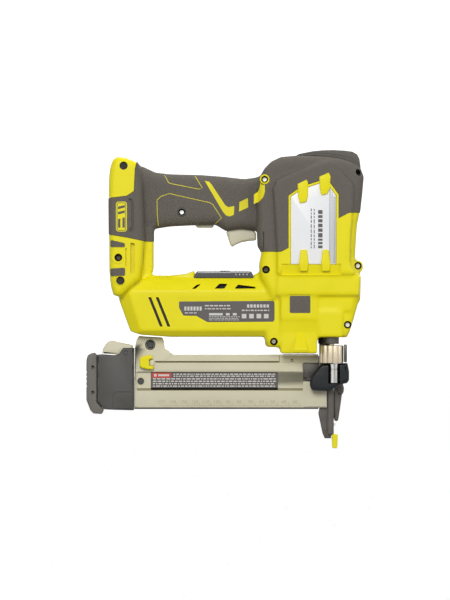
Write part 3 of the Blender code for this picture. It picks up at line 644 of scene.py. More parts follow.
openings = {
    "socket": ((-216, -28.4, 203.6), (-200, 28.4, 252.4)),
    "trigger": ((-97.4, -7, 186), (-67.9, 7, 224)),
    "lever": ((-126.6, -5, 200), (-108, 5, 220)),
    "nose": ((-8.6, -8.3, 88), (6.0, 8.3, 112)),
    "springRoom": (9.0, 96, 112),
    "windowFloor": 35.6, "padFloor": 33.8, "ventFloor": 22.5,
}
cutReach = 60.0   # side cuts run out to here, past the widest part
# vents in the motor tube, as side outlines
ventLines = [
    [(-129.5, 151.6), (-124.5, 155.6), (-120.5, 156.2), (-126, 151.6)],
    [(-108, 151.7), (-103, 156.6), (-95.5, 156.4), (-98.5, 151.9)],
    [(-89, 151.7), (-85.5, 155.6), (-69, 153.4), (-69, 151.9)],
    [(-170.8, 143.7), (-168, 143.7), (-156.8, 115.8), (-159.6, 115.8)],
    [(-163.7, 143.7), (-160.9, 143.7), (-149.7, 115.8), (-152.5, 115.8)],
]
recessLines = [
    # round the vents, the rating label and the long edge above it
    ([(-133, 149.2), (-126, 157.8), (-118.5, 157.8), (-124, 149.2)], 29.0),
    ([(-113, 150), (-110, 156.4), (-94, 156), (-95.5, 150)], 29.2),
    ([(-92.5, 150), (-90, 156.2), (-63.5, 155.4), (-63.5, 150)], 29.2),
    ([(-143, 140.8), (-51, 141.5), (-50, 121.6), (-53, 119), (-115, 118.6), (-126, 124.6),
      (-139, 124.6)], 29.1),
    ([(-144, 143.4), (-62, 144), (-62, 143.3), (-144, 142.7)], 29.0),
]
padSquare = oblong(-36.9, -16.1, 128.1, 145.6)
footCuts = [
    # upper hole, lower hole, long groove, thin groove, groove beside the badge pad
    (circle(-194, 268.3, 3.9, 28), 34.2), (circle(-197, 159.3, 3.9, 28), 34.4),
    ([(-187.5, 166), (-187.5, 195.5), (-183.4, 194.5), (-183.4, 166.5)], 33.0),
    (oblong(-192.2, -191.0, 172.5, 190), 34.5),
    ([(-189.5, 207.5), (-186.9, 209.5, 2), (-186.9, 232.5, 2), (-190, 236.8, 2),
      (-186.4, 237.2, 2), (-184.2, 232.5, 2), (-184.2, 208, 3), (-187, 204.4, 2)], 36.0),
]


def insideForms(inset):
    size = bodySizes
    forms = []
    for name, outline, half, edge in (
            ("foot", footLine, size["footHalf"], 6), ("stem", stemLine, size["stemHalf"], 3),
            ("grip", gripLine, size["gripHalf"], 10), ("head", headLine, size["headHalf"], 8),
            ("tube", tubeLine, size["tubeHalf"], 11), ("chin", chinLine, size["chinHalf"], 5)):
        shrink = inset if name in ("foot", "stem", "grip", "head") else inset - 2
        forms.append(slab(name, outline, shrink - half, half - shrink, max(edge - shrink, 0), 0,
                          inset=shrink))
    hollow = combine(forms[0], forms[1:], "UNION")
    pillars = [bar("pillar", "Y", (x, z), 4.6, -60, 60, 16) for x, z, seat in screwPlaces]
    return combine(hollow, pillars)


def sharedCuts():
    cuts = [insideForms(bodySizes["wall"])]
    for name in ("socket", "trigger", "lever", "nose"):
        cuts.append(block(name, *openings[name], edge=1.2 if name != "nose" else 0))
    cuts.append(block("seam", (-260, -0.14, 40), (90, 0.14, 320)))
    for x, z, seat in screwPlaces:
        cuts.append(bar("seat", "Y", (x, z), screwWell["radius"], -screwWell["reach"],
                        screwWell["headRoom"] - seat, 36))
    for outline, floor in footCuts:
        for side in sides:
            cuts.append(sideSlab("cut", outline, side, floor, cutReach, corner=0.8))
    return cuts


def yellowCuts():
    cuts = sharedCuts()
    cuts.append(across("area", rubberLine, 80, 0, 0, inset=-bodySizes["seam"]))
    cuts.append(across("console", consoleLine, 40, 0, 0, inset=0.35))
    cuts.append(bar("spring", "Z", wheelAt, *openings["springRoom"], 32))
    for side in sides:
        # the sill under the window falls inwards, between two upright walls
        cuts.append(slab("sill", [(side * 45, 175.2), (side * 37.4, 175.2), (side * 35.2, 164.6),
                                  (side * 45, 164.6)], -44.5, 12.0, axis="X"))
        cuts.append(sideSlab("padSeat", padSquare, side, openings["padFloor"], cutReach,
                             corner=1.5, inset=-0.7))
    for side in sides:
        cuts.append(sideSlab("window", windowLine, side, openings["windowFloor"], cutReach,
                             corner=1.2, inset=-0.3))
        for outline in ventLines:
            cuts.append(sideSlab("vent", outline, side, openings["ventFloor"], cutReach,
                                 corner=0.6))
        for outline, floor in recessLines:
            cuts.append(sideSlab("recess", outline, side, floor, cutReach, corner=1.0))
    return cuts


shell = combine(grown(copyOf(solid, "shellYellow"), -bodySizes["rubberProud"]), yellowCuts())
print("yellow shell cut", len(shell.data.polygons))

skinCuts = sharedCuts()
slotHole = {"at": (28.4, 262), "wide": 2.2, "tall": 3.3, "lean": 0.35, "floor": 17, "facets": 28}
postGroove = {"line": [(-61.6, 180), (-61.8, 205, 1), (-60.8, 207, 1), (-60.6, 180)],
              "floor": 30.5}
for side in sides:
    ring = []
    along, up = math.cos(slotHole["lean"]), math.sin(slotHole["lean"])
    for i in range(slotHole["facets"]):
        turn = math.tau * i / slotHole["facets"]
        u, v = slotHole["wide"] * math.cos(turn), slotHole["tall"] * math.sin(turn)
        ring.append((slotHole["at"][0] + u * along - v * up,
                     slotHole["at"][1] + u * up + v * along))
    skinCuts.append(sideSlab("slot", ring, side, slotHole["floor"], 50))
    # a groove parts the trigger guard's post from the head
    skinCuts.append(sideSlab("post", postGroove["line"], side, postGroove["floor"], 50))
rubber = combine(copyOf(solid, "skinRubber"), [across("area", rubberLine, 80, 0, 0)],
                 "INTERSECT")
rubber = combine(rubber, skinCuts)
print("rubber skin cut", len(rubber.data.polygons))
bodyTouch = surfaceOf(shell, rubber)


# window with its panel and four claws, on both sides of the head

window = {
    "panelFace": 37.2, "panelThick": 1.6, "panelEdge": 0.35,
    "clawTop": 39.95, "clawRoot": 35.8, "clawEdge": 1.0, "thinning": 0.9, "thinFrom": 0.55,
    # printed strips: middle X, width, Z from and to, and the seed of their marks
    "strips": [(-7.6, 4.2, 190, 228, 41), (-13.4, 0.9, 190, 229, 42), (-16.2, 0.9, 190, 229, 43)],
    "stripTop": 37.28, "markGap": 1.1,
    # bands of painted shade: X from and to, and their upper end
    "bands": [(0.8, 2.2, 245.5), (2.9, 4.0, 243.0), (4.6, 6.9, 239.0)],
    "bandTop": 37.34, "bandFoot": 175.8, "inlay": 37.0,
    "claws": [
        # side outlines: two hang from the top of the frame, two stand on its sill
        [(-29.3, 250.8, 1), (-28.6, 238, 2), (-26.8, 232.6, 1.2), (-20.8, 234.2, 1.2),
         (-19.4, 240, 2), (-19.2, 252, 1), (-20.5, 255.2, 1)],
        [(-8.7, 257.8, 1), (-8.2, 247, 2), (-6.6, 240.2, 1.2), (-1.1, 241.5, 1.2),
         (1.4, 247, 2), (2.2, 258, 1), (0.4, 261.8, 1)],
        [(-27.2, 168.2), (-28, 176, 1), (-26.3, 188.7, 1.2), (-20.4, 188.7, 1.2), (-18.6, 176, 1),
         (-19.8, 168.2)],
        [(-5.9, 168.2), (-7, 176, 1), (-5.3, 188.7, 1.2), (0.2, 188.7, 1.2), (2, 176, 1),
         (1.4, 168.2)],
    ],
}


def windowClaws():
    claws = []
    for outline in window["claws"]:
        claw = slab("claw", outline, -window["clawTop"], -window["clawRoot"],
                    window["clawEdge"], 3)
        work = bmesh.new()
        work.from_mesh(claw.data)
        heights = [v.co.z for v in work.verts]
        low, high = min(heights), max(heights)
        hangs = low > 200
        tip, root = (low, high) if hangs else (high, low)
        for vert in work.verts:
            # each claw thins towards its tip
            share = (vert.co.z - root) / (tip - root)
            if vert.co.y < -38.5:
                vert.co.y += window["thinning"] * max(0.0, share - window["thinFrom"])
        work.to_mesh(claw.data)
        work.free()
        claws.append(claw)
    return claws


face, inlay = window["panelFace"], -window["inlay"]
panel = slab("windowPanelLeft", windowLine, -face, window["panelThick"] - face,
             window["panelEdge"], corner=1.2)
twin = mirrored(panel, "windowPanelRight")
for piece, node in ((panel, "window_panel_left"), (twin, "window_panel_right")):
    finishPiece(piece, looks["plate"], "housing", "silver_plate", node)
claws = merged("windowClaws", *windowClaws())
marks = []
for x, width, low, high, seed in window["strips"]:
    pick = random.Random(seed)
    z = low
    while z < high - 1:
        tall = min(pick.uniform(1.6, 4.4), high - z)
        marks.append(block("mark", (x - width / 2, -window["stripTop"], z),
                           (x + width / 2, inlay, z + tall)))
        z += tall + window["markGap"]
# grey bands of painted shade near the plate's right edge
bands = [block("band", (low, -window["bandTop"], window["bandFoot"]), (high, inlay, top), 0.05)
         for low, high, top in window["bands"]]
finishPiece(bothSides("windowBands", merged("windowBands", *bands)), looks["plateShade"],
            "housing", "silver_plate")
finishPiece(merged("windowPrint", *marks), looks["label"], "housing", "gloss_black")
finishPiece(bothSides("windowClaws", claws), looks["yellow"], "housing", "housing_plastic")
print("window made")


# top cap and console

capSizes = {"half": 22.0, "creaseDepth": 0.5, "dialSeat": 10.7, "seatFloor": 280.3}
capLine = [(-30, 278.4), (-27.5, 279.8), (-15, 282.3), (-5, 283.3), (5, 283.5), (15, 283),
           (23, 282), (27.8, 279.2), (29.8, 275), (31, 266.8), (29.4, 266.8), (22.2, 271.6),
           (12, 275.2), (0, 277.0), (-15, 278.2)]
creaseLine = strip([(-24, 280.0), (-14, 280.6), (0, 279.8), (12, 278.2), (22, 275.6),
                    (28.5, 271)], 0.5)
cap = across("topCap", capLine, capSizes["half"], 0.7, 3)
creaseFloor = capSizes["half"] - capSizes["creaseDepth"]
cap = combine(cap, [bar("dialSeat", "Z", (0, 0), capSizes["dialSeat"], capSizes["seatFloor"],
                        290, 48),
                    *[sideSlab("crease", creaseLine, side, creaseFloor, 30) for side in sides]])
finishPiece(cap, looks["rubberSmooth"], "housing", "black_plastic", "top_cap")

consoleSizes = {
    "half": 22.8, "edge": 1.4, "buttonAt": (-98, 0), "buttonHole": 5.5,
    # lamps: X, then the parts that show on the top and on the camera side
    "lamps": (-87.5, -84, -80.5, -77),
    "topLamp": ((-0.9, -9, 168.15), (0.9, -4, 168.55), 0.15),
    "sideLamp": ((-0.5, -22.95, 164.6), (0.5, -22.7, 165.8), 0.05),
}
console = across("console", consoleLine, consoleSizes["half"], consoleSizes["edge"], 3, corner=2.0)
console = combine(console, [bar("buttonHole", "Z", consoleSizes["buttonAt"],
                                consoleSizes["buttonHole"], 150, 180, 40)])
finishPiece(console, looks["glossBlack"], "housing", "gloss_black", "control_panel")
lamps = []
for x in consoleSizes["lamps"]:
    for part in ("topLamp", "sideLamp"):
        low, high, edge = consoleSizes[part]
        lamps.append(block("lamp", (x + low[0], *low[1:]), (x + high[0], *high[1:]), edge))
finishPiece(merged("consoleLamps", *lamps), looks["print"], "housing", "grey_plastic")
print("cap and console made")


# lines, stripes and pips on the handle

gripTrim = {
    "lineWidth": 0.55, "lineHeight": 0.2, "pipStep": 2.9, "pipRadius": 0.78, "pipRise": 0.45,
    "lines": [
        [(-155.5, 259.8), (-151.5, 252.5), (-149.5, 251.7), (-122.5, 246.3), (-119.5, 247.6),
         (-126.5, 259)],
        [(-161.2, 211.5), (-162.3, 222), (-162.5, 236), (-159, 239.4), (-150.8, 242.2),
         (-112, 233.4), (-109.5, 231.8), (-101.3, 219), (-107.3, 213.4)],
    ],
    "stripes": [
        [(-117.2, 254.2), (-113.2, 253.6), (-111, 251.3, 1), (-97.5, 231, 2), (-94.8, 229.2, 1),
         (-89, 230.5, 1), (-89.5, 222, 1), (-91.5, 221), (-94, 220.4, 1), (-97, 221.5, 1),
         (-100, 225)],
        [(-84.6, 225), (-84.2, 234), (-76.2, 238), (-75.8, 229)],
    ],
    "screwStripe": [(-70.6, 232), (-70.4, 241), (-66.6, 243.8), (-64.9, 248), (-64.4, 252.5),
                    (-60.2, 252.5), (-60, 243.4), (-62, 238), (-66, 234)],
    "pipFields": [
        [(-154, 258.5), (-150.5, 254), (-123, 248.3), (-122.5, 249.5), (-128, 258.3)],
        [(-159, 212.5), (-160.5, 235), (-151, 239.5), (-112.5, 231), (-104.5, 219),
         (-108.5, 215), (-130, 214), (-150, 213)],
        [(-108, 255.5), (-94, 233.5), (-88, 233.5), (-85.5, 236.5), (-74, 241.5), (-69.5, 245.5),
         (-69, 254), (-80, 253), (-98, 255.5)],
    ],
}


def pipsOn(tree, field, side, size):
    # staggered low domes that follow the skin
    work = bmesh.new()
    step = size["pipStep"]
    zs = [p[1] for p in field]
    xs = [p[0] for p in field]
    row = 0
    z = min(zs)
    while z < max(zs):
        x = min(xs) + (step / 2 if row % 2 else 0)
        while x < max(xs):
            if inside(x, z, field) and not nearScrew(x, z):
                spot, normal = touch(tree, x, z, side)
                if spot is not None and side * normal.y > 0.3:
                    addDome(work, spot, normal, size["pipRadius"], size["pipRise"])
            x += step
        z += step * 0.62
        row += 1
    return fromWork("pips", work)


def nearScrew(x, z):
    return any((x - sx) ** 2 + (z - sz) ** 2 < 30 for sx, sz, seat in screwPlaces)


def addDome(work, spot, normal, radius, rise, facets=8):
    turn = normal.to_track_quat("Z", "Y").to_matrix()
    rings = []
    for share, height in ((1.0, -0.3), (0.8, 0.55), (0.4, 0.92)):
        ring = []
        for k in range(facets):
            a = math.tau * k / facets
            lift = rise * height if height > 0 else -0.25
            ring.append(work.verts.new(spot + turn @ Vector(
                (radius * share * math.cos(a), radius * share * math.sin(a), lift))))
        rings.append(ring)
    top = work.verts.new(spot + turn @ Vector((0, 0, rise)))
    for low, high in zip(rings, rings[1:]):
        for k in range(facets):
            work.faces.new((low[k], low[(k + 1) % facets], high[(k + 1) % facets], high[k]))
    for k in range(facets):
        work.faces.new((rings[-1][k], rings[-1][(k + 1) % facets], top))
    work.faces.new(rings[0][::-1])


def gripDecor(side):
    size = gripTrim
    lines = [patch("line", bodyTouch, strip(points, size["lineWidth"]), side, size["lineHeight"],
                   grid=2.5) for points in size["lines"]]
    lines += [patch("stripe", bodyTouch, outline, side, 0.3, grid=2.5)
              for outline in size["stripes"]]
    lines.append(patch("stripe", bodyTouch, size["screwStripe"], side, 0.3, grid=2.5))
    pips = [pipsOn(bodyTouch, field, side, size) for field in size["pipFields"]]
    return lines, pips


lines, pips = [], []
for side in sides:
    newLines, newPips = gripDecor(side)
    lines += newLines
    pips += newPips
finishPiece(merged("gripLines", *lines), looks["yellowDeep"], "housing", "housing_plastic")
finishPiece(merged("gripPips", *pips), looks["rubberPip"], "housing", "overmould_rubber", angle=60)
print("handle trim made")


# battery foot: badge, pad, bars and rings

footTrim = {
    "badge": oblong(-201.2, -190.8, 205.8, 234.2),
    "badgeInner": 1.1, "innerWidth": 0.55,
    "bars": [[(-206.5, 191.3), (-206.5, 198), (-193, 194.9), (-192.5, 191.3)],
             [(-206.5, 163.6), (-206.5, 170.8), (-192.6, 171.6), (-192.6, 164.2)]],
    "barHeight": 1.1, "markHeight": 0.5,
    "mark": [[(-199.2, 227), (-199.2, 229.4), (-192.8, 231), (-192.8, 228.6)],
             [(-199.2, 222), (-199.2, 224.4), (-192.8, 226), (-192.8, 223.6)],
             [(-199.2, 209.5), (-199.2, 217.5), (-197, 218.2), (-197, 209.5)],
             [(-195, 209.5), (-195, 218.8), (-192.8, 219.4), (-192.8, 209.5)]],
    "slots": [oblong(-175, -171.4, 169.5, 190.5), oblong(-170.2, -166.9, 172.5, 188.5)],
}
badgePieces, badgeLines, barPieces, slotLines = [], [], [], []
for side in sides:
    badgePieces.append(patch("badge", bodyTouch, footTrim["badge"], side, 0.35, corner=3))
    low, high = footTrim["badge"][0], footTrim["badge"][2]
    gap = footTrim["badgeInner"]
    ring = roundCorners(oblong(low[0] + gap, high[0] - gap, low[1] + gap, high[1] - gap), 2.2)
    for outline in closedStrip(ring, footTrim["innerWidth"]):
        badgeLines.append(patch("rim", bodyTouch, outline, side, 0.5, grid=6))
    for outline in footTrim["mark"]:
        badgeLines.append(patch("mark", bodyTouch, outline, side, footTrim["markHeight"], grid=6))
    for outline in footTrim["bars"]:
        barPieces.append(patch("bar", bodyTouch, outline, side, footTrim["barHeight"],
                               corner=1.5))
    for outline in footTrim["slots"]:
        for loop in closedStrip(roundCorners(outline, 1.6), 0.55):
            slotLines.append(patch("slot", bodyTouch, loop, side, 0.3, grid=6))
finishPiece(merged("stemSlots", *slotLines), looks["yellowDeep"], "housing", "housing_plastic")
finishPiece(merged("footBadge", *badgePieces), looks["yellow"], "housing", "housing_plastic")
finishPiece(merged("footBadgeRim", *badgeLines), looks["rubberSmooth"], "housing",
            "overmould_rubber")
finishPiece(merged("footBars", *barPieces), looks["rubber"], "housing", "overmould_rubber")

# rings round holes: X, Z, outer and inner radius, level where no skin is met, and look
ringTrim = {
    "lip": 0.5, "sink": 3,
    "rings": [(-199, 181.2, 6.2, 3.6, 38.0, "yellow"),
              (-139, 224.5, 4.5, 3.1, 17.3, "blackPlastic"),
              (-60.3, 255.4, 4.6, 3.2, 31.0, "yellow"), (-197, 159.3, 5.1, 3.9, 36.0, "yellow")],
}
lip, sink = ringTrim["lip"], ringTrim["sink"]
for number, (x, z, outer, inner, depth, lookName) in enumerate(ringTrim["rings"], 1):
    spot, normal = touch(bodyTouch, x + outer - lip, z, -1)
    level = -spot.y if spot else depth
    piece = lathe(f"screwRing{number}", "Y", (x, z), [
        (outer, level + 0.1), (outer - lip, level + lip), (inner + 0.4, level + lip),
        (inner, level), (inner, level - sink), (outer, level - sink)], 48)
    finishPiece(piece, looks[lookName], "housing",
                "housing_plastic" if lookName == "yellow" else "black_plastic")

footFloors = {
    # discs close the two holes, near-black as painted shade for the holes' insides: X, Z and outer
    # level; a plate closes the long groove
    "discRadius": 3.95, "discThick": 1, "discs": [(-197, 159.3, 34.5), (-194, 268.3, 34.3)],
    "groove": oblong(-189, -182, 164.5, 197), "grooveDepths": (31.8, 33.1),
    # dark plates of painted shade sit inside the tube behind its air slots: outline, then near and
    # far
    "ventShades": [(oblong(-173, -147, 113, 147), 26.4, 27.4),
                (oblong(-135, -62, 149.5, 161), 18.5, 19.5)],
}
holeDiscs = []
for x, z, depth in footFloors["discs"]:
    for side in sides:
        low, high = sorted((side * (depth - footFloors["discThick"]), side * depth))
        holeDiscs.append(bar("disc", "Y", (x, z), footFloors["discRadius"], low, high, 28))
grooveFloors = [sideSlab("grooveFloor", footFloors["groove"], side, *footFloors["grooveDepths"])
                for side in sides]
finishPiece(merged("grooveFloors", *grooveFloors), looks["yellowDeep"], "housing",
            "housing_plastic")
# the discs take a near-black finish as painted shade in the holes
finishPiece(merged("holeFloors", *holeDiscs), looks["dark"], "housing", "black_plastic")
# dark plates of painted shade behind the air slots
ventShades = [sideSlab("ventShade", outline, side, near, far) for side in sides
           for outline, near, far in footFloors["ventShades"]]
finishPiece(merged("tubeVentShades", *ventShades), looks["dark"], "housing", "black_plastic")
print("foot trim made")


# screws with a six-lobed recess

screwSizes = {"head": 2.4, "height": 2.2, "lobe": 1.45, "lobeDeep": 1.2, "shank": 1.3}


def starLine(x, z, radius, facets=48):
    return [(x + radius * (1 + 0.16 * math.cos(6 * math.tau * i / facets))
             * math.cos(math.tau * i / facets),
             z + radius * (1 + 0.16 * math.cos(6 * math.tau * i / facets))
             * math.sin(math.tau * i / facets)) for i in range(facets)]


def screw(name, x, z, top, reach, size=1.0):
    # top is how far the head stands from the parting plane towards the left
    head, rim = screwSizes["head"] * size, 0.5 * size
    profile = [(0, top), (head - rim, top), (head - 0.15 * size, top - 0.25 * size),
               (head, top - 0.7 * size), (head, top - 1.3 * size),
               (screwSizes["shank"], top - screwSizes["height"] * size),
               (screwSizes["shank"], -reach), (0, -reach)]
    piece = lathe(name, "Y", (x, z), profile)
    hole = slab("star", starLine(x, z, screwSizes["lobe"] * size * 0.9),
                -top - 2, screwSizes["lobeDeep"] - top)
    return combine(piece, [hole])


brightScrews = (1, 2, 4, 5, 6)
# near-black discs on the wells' floors are painted shade round the screw heads
wellShades = [bar("wellShade", "Y", (x, z), screwWell["radius"] - 0.1,
               screwWell["headRoom"] - screwWell["wellShade"] - seat,
               screwWell["headRoom"] - seat, 36) for x, z, seat in screwPlaces]
finishPiece(merged("screwWellShades", *wellShades), looks["dark"], "housing", "dark_steel")
for number, (x, z, seat) in enumerate(screwPlaces, 1):
    piece = screw(f"housingScrew{number}", x, z, seat - screwWell["sunk"], 9)
    finishPiece(piece, looks["steel" if number in brightScrews else "darkSteel"], "housing",
                "dark_steel", f"housing_screw_{number}")
# magazine screws: X, Z, reach and size
magazineScrews = {"top": 11.7, "places": [(-169, 98.5, 9, 1.35), (-178, 64, -6.8, 1.3)]}
for number, (x, z, reach, size) in enumerate(magazineScrews["places"], 1):
    piece = screw(f"magazineScrew{number}", x, z, magazineScrews["top"], reach, size)
    finishPiece(piece, looks["blackScrew"], "housing", "dark_steel", f"magazine_screw_{number}")
print("screws made")


# trigger and grip lever

triggerLine = [(-96.8, 205.5), (-94, 208.5), (-94, 217), (-70.5, 217), (-70.5, 208),
               (-68.2, 204.5), (-68.2, 197.7, 2), (-75, 197.3, 4), (-82, 196, 5), (-87, 194, 3),
               (-90.7, 191.6, 1.2), (-92.8, 193, 1.5), (-95, 200, 4)]
trigger = across("triggerPiece", triggerLine, 6.5, 2.2, 5, corner=1.0)
finishPiece(trigger, looks["cream"], "trigger", "cream_plastic", "trigger", angle=45)
leverLine = [(-126, 211.5, 1), (-124, 209.7, 2), (-110, 209.7, 2), (-108.6, 211.5, 1),
             (-108.6, 216.4), (-126, 216.4)]
lever = across("gripLever", leverLine, 4.4, 1.3, 4)
finishPiece(lever, looks["cream"], "grip_lever", "cream_plastic", "grip_lever", angle=45)


# labels on the motor tube, printed with plain bars in place of lettering

tubeLabel = {
    "outline": [(-141.5, 139.6), (-52, 140.2), (-51, 138.6), (-51, 122.2), (-52.2, 120.4),
                (-114.5, 120), (-125.2, 126), (-137.5, 126.2), (-141.5, 134)],
    "height": 0.12,
}


def bars(tree, runs, side, height, grid=8):
    # runs are (X from, X to, Z from, Z to)
    return [patch("bar", tree, oblong(a, b, low, high), side, height, 0.3, grid)
            for a, b, low, high in runs]


def dashes(left, right, low, high, seed, gap=0.9, longest=4.2):
    pick = random.Random(seed)
    runs, x = [], left
    while x < right - 1:
        width = min(pick.uniform(1.0, longest), right - x)
        runs.append((x, x + width, low, high))
        x += width + gap
    return runs


labelFilm = patch("tubeLabel", bodyTouch, tubeLabel["outline"], -1, tubeLabel["height"], 0.4, 6,
                  corner=0.8)
finishPiece(labelFilm, looks["label"], "housing", "gloss_black")
labelRuns = [(-136.5 + 2.9 * i, -134.5 + 2.9 * i, 131.0, 134.8) for i in range(6)]
labelRuns += dashes(-136, -124, 128.3, 129.2, 19)
for row, (low, high) in enumerate(((135.0, 136.2), (132.2, 133.2))):
    labelRuns += dashes(-117, -92, low, high, 20 + row)
for left, right in ((-113, -100), (-97, -93.4), (-90.5, -86.8)):
    labelRuns.append((left, right, 126.4, 128.6))
labelRuns += [(-77 + 3.1 * i, -74.8 + 3.1 * i, 133.8, 136.8) for i in range(7)]
for row in range(3):
    labelRuns += dashes(-113, -84, 124.8 - 1.5 * row, 125.4 - 1.5 * row, 50 + row, 0.7, 3.0)
labelRuns += dashes(-82, -56, 130.6, 131.8, 30)
for left in (-82, -75, -68, -61):
    labelRuns.append((left, left + 4.4, 123.6, 127.8))
finishPiece(merged("tubeLabelPrint", *bars(bodyTouch, labelRuns, -1, 0.22)), looks["print"],
            "housing", "grey_plastic")
squarePad = bothSides("chinPad", patch("chinPad", bodyTouch, oblong(-36.5, -17, 128.8, 145),
                                       -1, 0.5, corner=1.2))
finishPiece(squarePad, looks["rubber"], "housing", "overmould_rubber")
# the fin rises out of the block towards its foot
fin = slab("chinFin", [(-29, 110.5), (-31.0, 110.5), (-39.4, 94), (-38.6, 91.2), (-29, 90.6)],
           -34, -18, 0, axis="X", corner=0.6)
fin = combine(fin, [across("finSide", [(-29.2, 112), (-22.8, 112), (-18.8, 88), (-33.3, 88)],
                           50, 0, 0, corner=0.6)], "INTERSECT")
finishPiece(bothSides("chinFin", fin), looks["yellow"], "housing", "housing_plastic")
print("labels made")


# the bodywork takes its finish

finishPiece(shell, looks["yellow"], "housing", "housing_plastic", "housing_left",
            "housing_right", angle=28)
finishPiece(rubber, looks["rubber"], "housing", "overmould_rubber", "rubber_cover_left",
            "rubber_cover_right", angle=28)
bpy.data.objects.remove(solid)


# magazine

magazine = {
    "half": 12.0, "recessDepth": 2.6, "lipDepth": 2.2, "railDepth": 0.7, "cutReach": 30,
    "side": [(-184, 38.6), (-184, 95), (-182, 103, 3), (-180, 107, 3), (-176, 106.4),
             (-157.5, 105.3, 2), (-156, 101), (-155.5, 95, 4), (-147, 89, 4), (-46, 89),
             (-46, 81.5), (-23.4, 81.5), (-23.4, 63.5, 1.0), (-1, 63.5), (-1, 38.6)],
    "recess": oblong(-182, -23.4, 54.6, 72.9),
    "groove": oblong(-164.4, -46.5, 81.0, 83.0),
    "rail": [(-155, 83.2), (-149, 89.5), (-46.5, 89.5), (-46.5, 83.2)],
    "label": oblong(-168.5, -47.5, 55.4, 72.2),
    "labelCorner": oblong(-167.6, -149, 67, 71.8),
    # screw seats: radius and how far the hole reaches
    "seats": [(4.6, 20), (3.7, 0)], "seatFloor": -9.6, "hole": 1.75,
    # ribs on both sides: outline and height
    "ribs": [(oblong(-163, -48, 74.4, 80.4), 0.5),
             ([(-157.4, 80.6), (-157.4, 81.9), (-154.6, 81.25)], 0.6),
             (oblong(-182, -23, 38.8, 39.6), 0.4)],
    # ruler: first tick, pitch and count, the end of the strip, and the height of the ticks' tops
    "ruler": (-158.5, 10.6, 15), "rulerEnd": -23, "tickTop": 48.6, "tickFace": -12.22,
    "numberSize": 4.6, "numberAt": (-12.1, 42.6),
    "lineFace": -12.12, "line": (-160, -26, 40.6, 40.95), "stepTop": 43.6,
    # strips of painted shade along the recess's lower and upper edges, and one in the groove
    "ledgeShades": [oblong(-181.6, -23.8, 54.8, 57.2), oblong(-181.6, -23.8, 72.2, 72.7)],
    "grooveShade": oblong(-164, -46.6, 81.2, 82.9),
}
cover = across("magazineCover", magazine["side"], magazine["half"], 0.9, 3, corner=0.6)
coverCuts = [block("slot", (-190, -6.3, 30), (3, 6.3, 79.5)),
             block("noseRoom", (-21, -8.3, 30), (3, 8.3, 66))]
for (x, z, reach, size), (radius, through) in zip(magazineScrews["places"], magazine["seats"]):
    coverCuts.append(bar("seat", "Y", (x, z), radius, -20, magazine["seatFloor"], 40))
    coverCuts.append(bar("hole", "Y", (x, z), magazine["hole"], -20, through, 20))
for side in sides:
    for outline, depth, corner in ((magazine["recess"], magazine["recessDepth"], 1.5),
                                   (magazine["groove"], magazine["lipDepth"], 0.4),
                                   (magazine["rail"], magazine["railDepth"], 0.3)):
        coverCuts.append(sideSlab("cut", outline, side, magazine["half"] - depth,
                                  magazine["cutReach"], corner=corner))
cover = combine(cover, coverCuts)
coverExtras = [block("finger", (-169.4, -14.6, 78.6), (-165.1, -11, 84.3), 0.6)]
ringProfile = [(4.9, 12.4), (4.6, 12.9), (4.2, 12.9), (3.8, 12.4), (3.8, 10.6), (4.9, 10.6)]
coverTouch = surfaceOf(cover)
for side in sides:
    # a strip above the recess, a pointer over it and a bead along the lower edge
    for outline, height in magazine["ribs"]:
        coverExtras.append(patch("rib", coverTouch, outline, side, height, 0.4, 20, corner=0.3))
# ruler ticks and numbers stand a little proud of the lower strip
first, pitch, count = magazine["ruler"]
inlaid = 0.2 - magazine["half"]
for i in range(count * 2):
    x = first + i * pitch / 2
    if x > magazine["rulerEnd"]:
        break
    tall = 2.0 if i % 2 == 0 else 1.0
    coverExtras.append(block("tick", (x - 0.2, magazine["tickFace"], magazine["tickTop"] - tall),
                             (x + 0.2, inlaid, magazine["tickTop"])))
cover = merged("magazineCover", cover, *coverExtras)
finishPiece(cover, looks["cream"], "housing", "cream_plastic", "magazine_housing")
ring = lathe("magazineScrewRing", "Y", (-169, 98.5), ringProfile, 48)
finishPiece(ring, looks["blackPlastic"], "housing", "black_plastic")
# the numbers take a darker cream: painted shade for their relief
for i in range(count):
    x = first + i * pitch
    if x > magazine["rulerEnd"] - 1:
        break
    curve = bpy.data.curves.new("rulerNumber", "FONT")
    curve.body = str(150 - 10 * i)
    curve.size = magazine["numberSize"]
    curve.align_x = "CENTER"
    curve.extrude = 0.16
    piece = newPiece(f"rulerNumber{i}", curve)
    piece.matrix_world = Matrix.Translation((x, *magazine["numberAt"])) @ turnTo["Y"]
    piece = settle(piece)
    finishPiece(piece, looks["creamShade"], "housing", "cream_plastic")


def flatTouch(depth):
    # a plain wall to lay inlays on, some way inside the cover's side
    y = depth - magazine["half"]
    return BVHTree.FromPolygons([(-200, y, 30), (0, y, 30), (0, y, 100), (-200, y, 100)],
                                [(0, 1, 2, 3)])


coverTouch = flatTouch(magazine["recessDepth"])
film = patch("magazineLabel", coverTouch, magazine["label"], -1, 0.12, 0.3, 12, corner=0.8)
finishPiece(film, looks["label"], "housing", "gloss_black")
film = patch("magazineLabelCorner", coverTouch, magazine["labelCorner"], -1, 0.2, 0.3, 12,
             corner=0.5)
finishPiece(film, looks["redPrint"], "housing", "gloss_black")
# painted shade: thin olive strips lie along the recess's ledges
ledgeShades = [patch("ledgeShade", coverTouch, outline, -1, 0.12, 0.3, 40)
          for outline in magazine["ledgeShades"]]
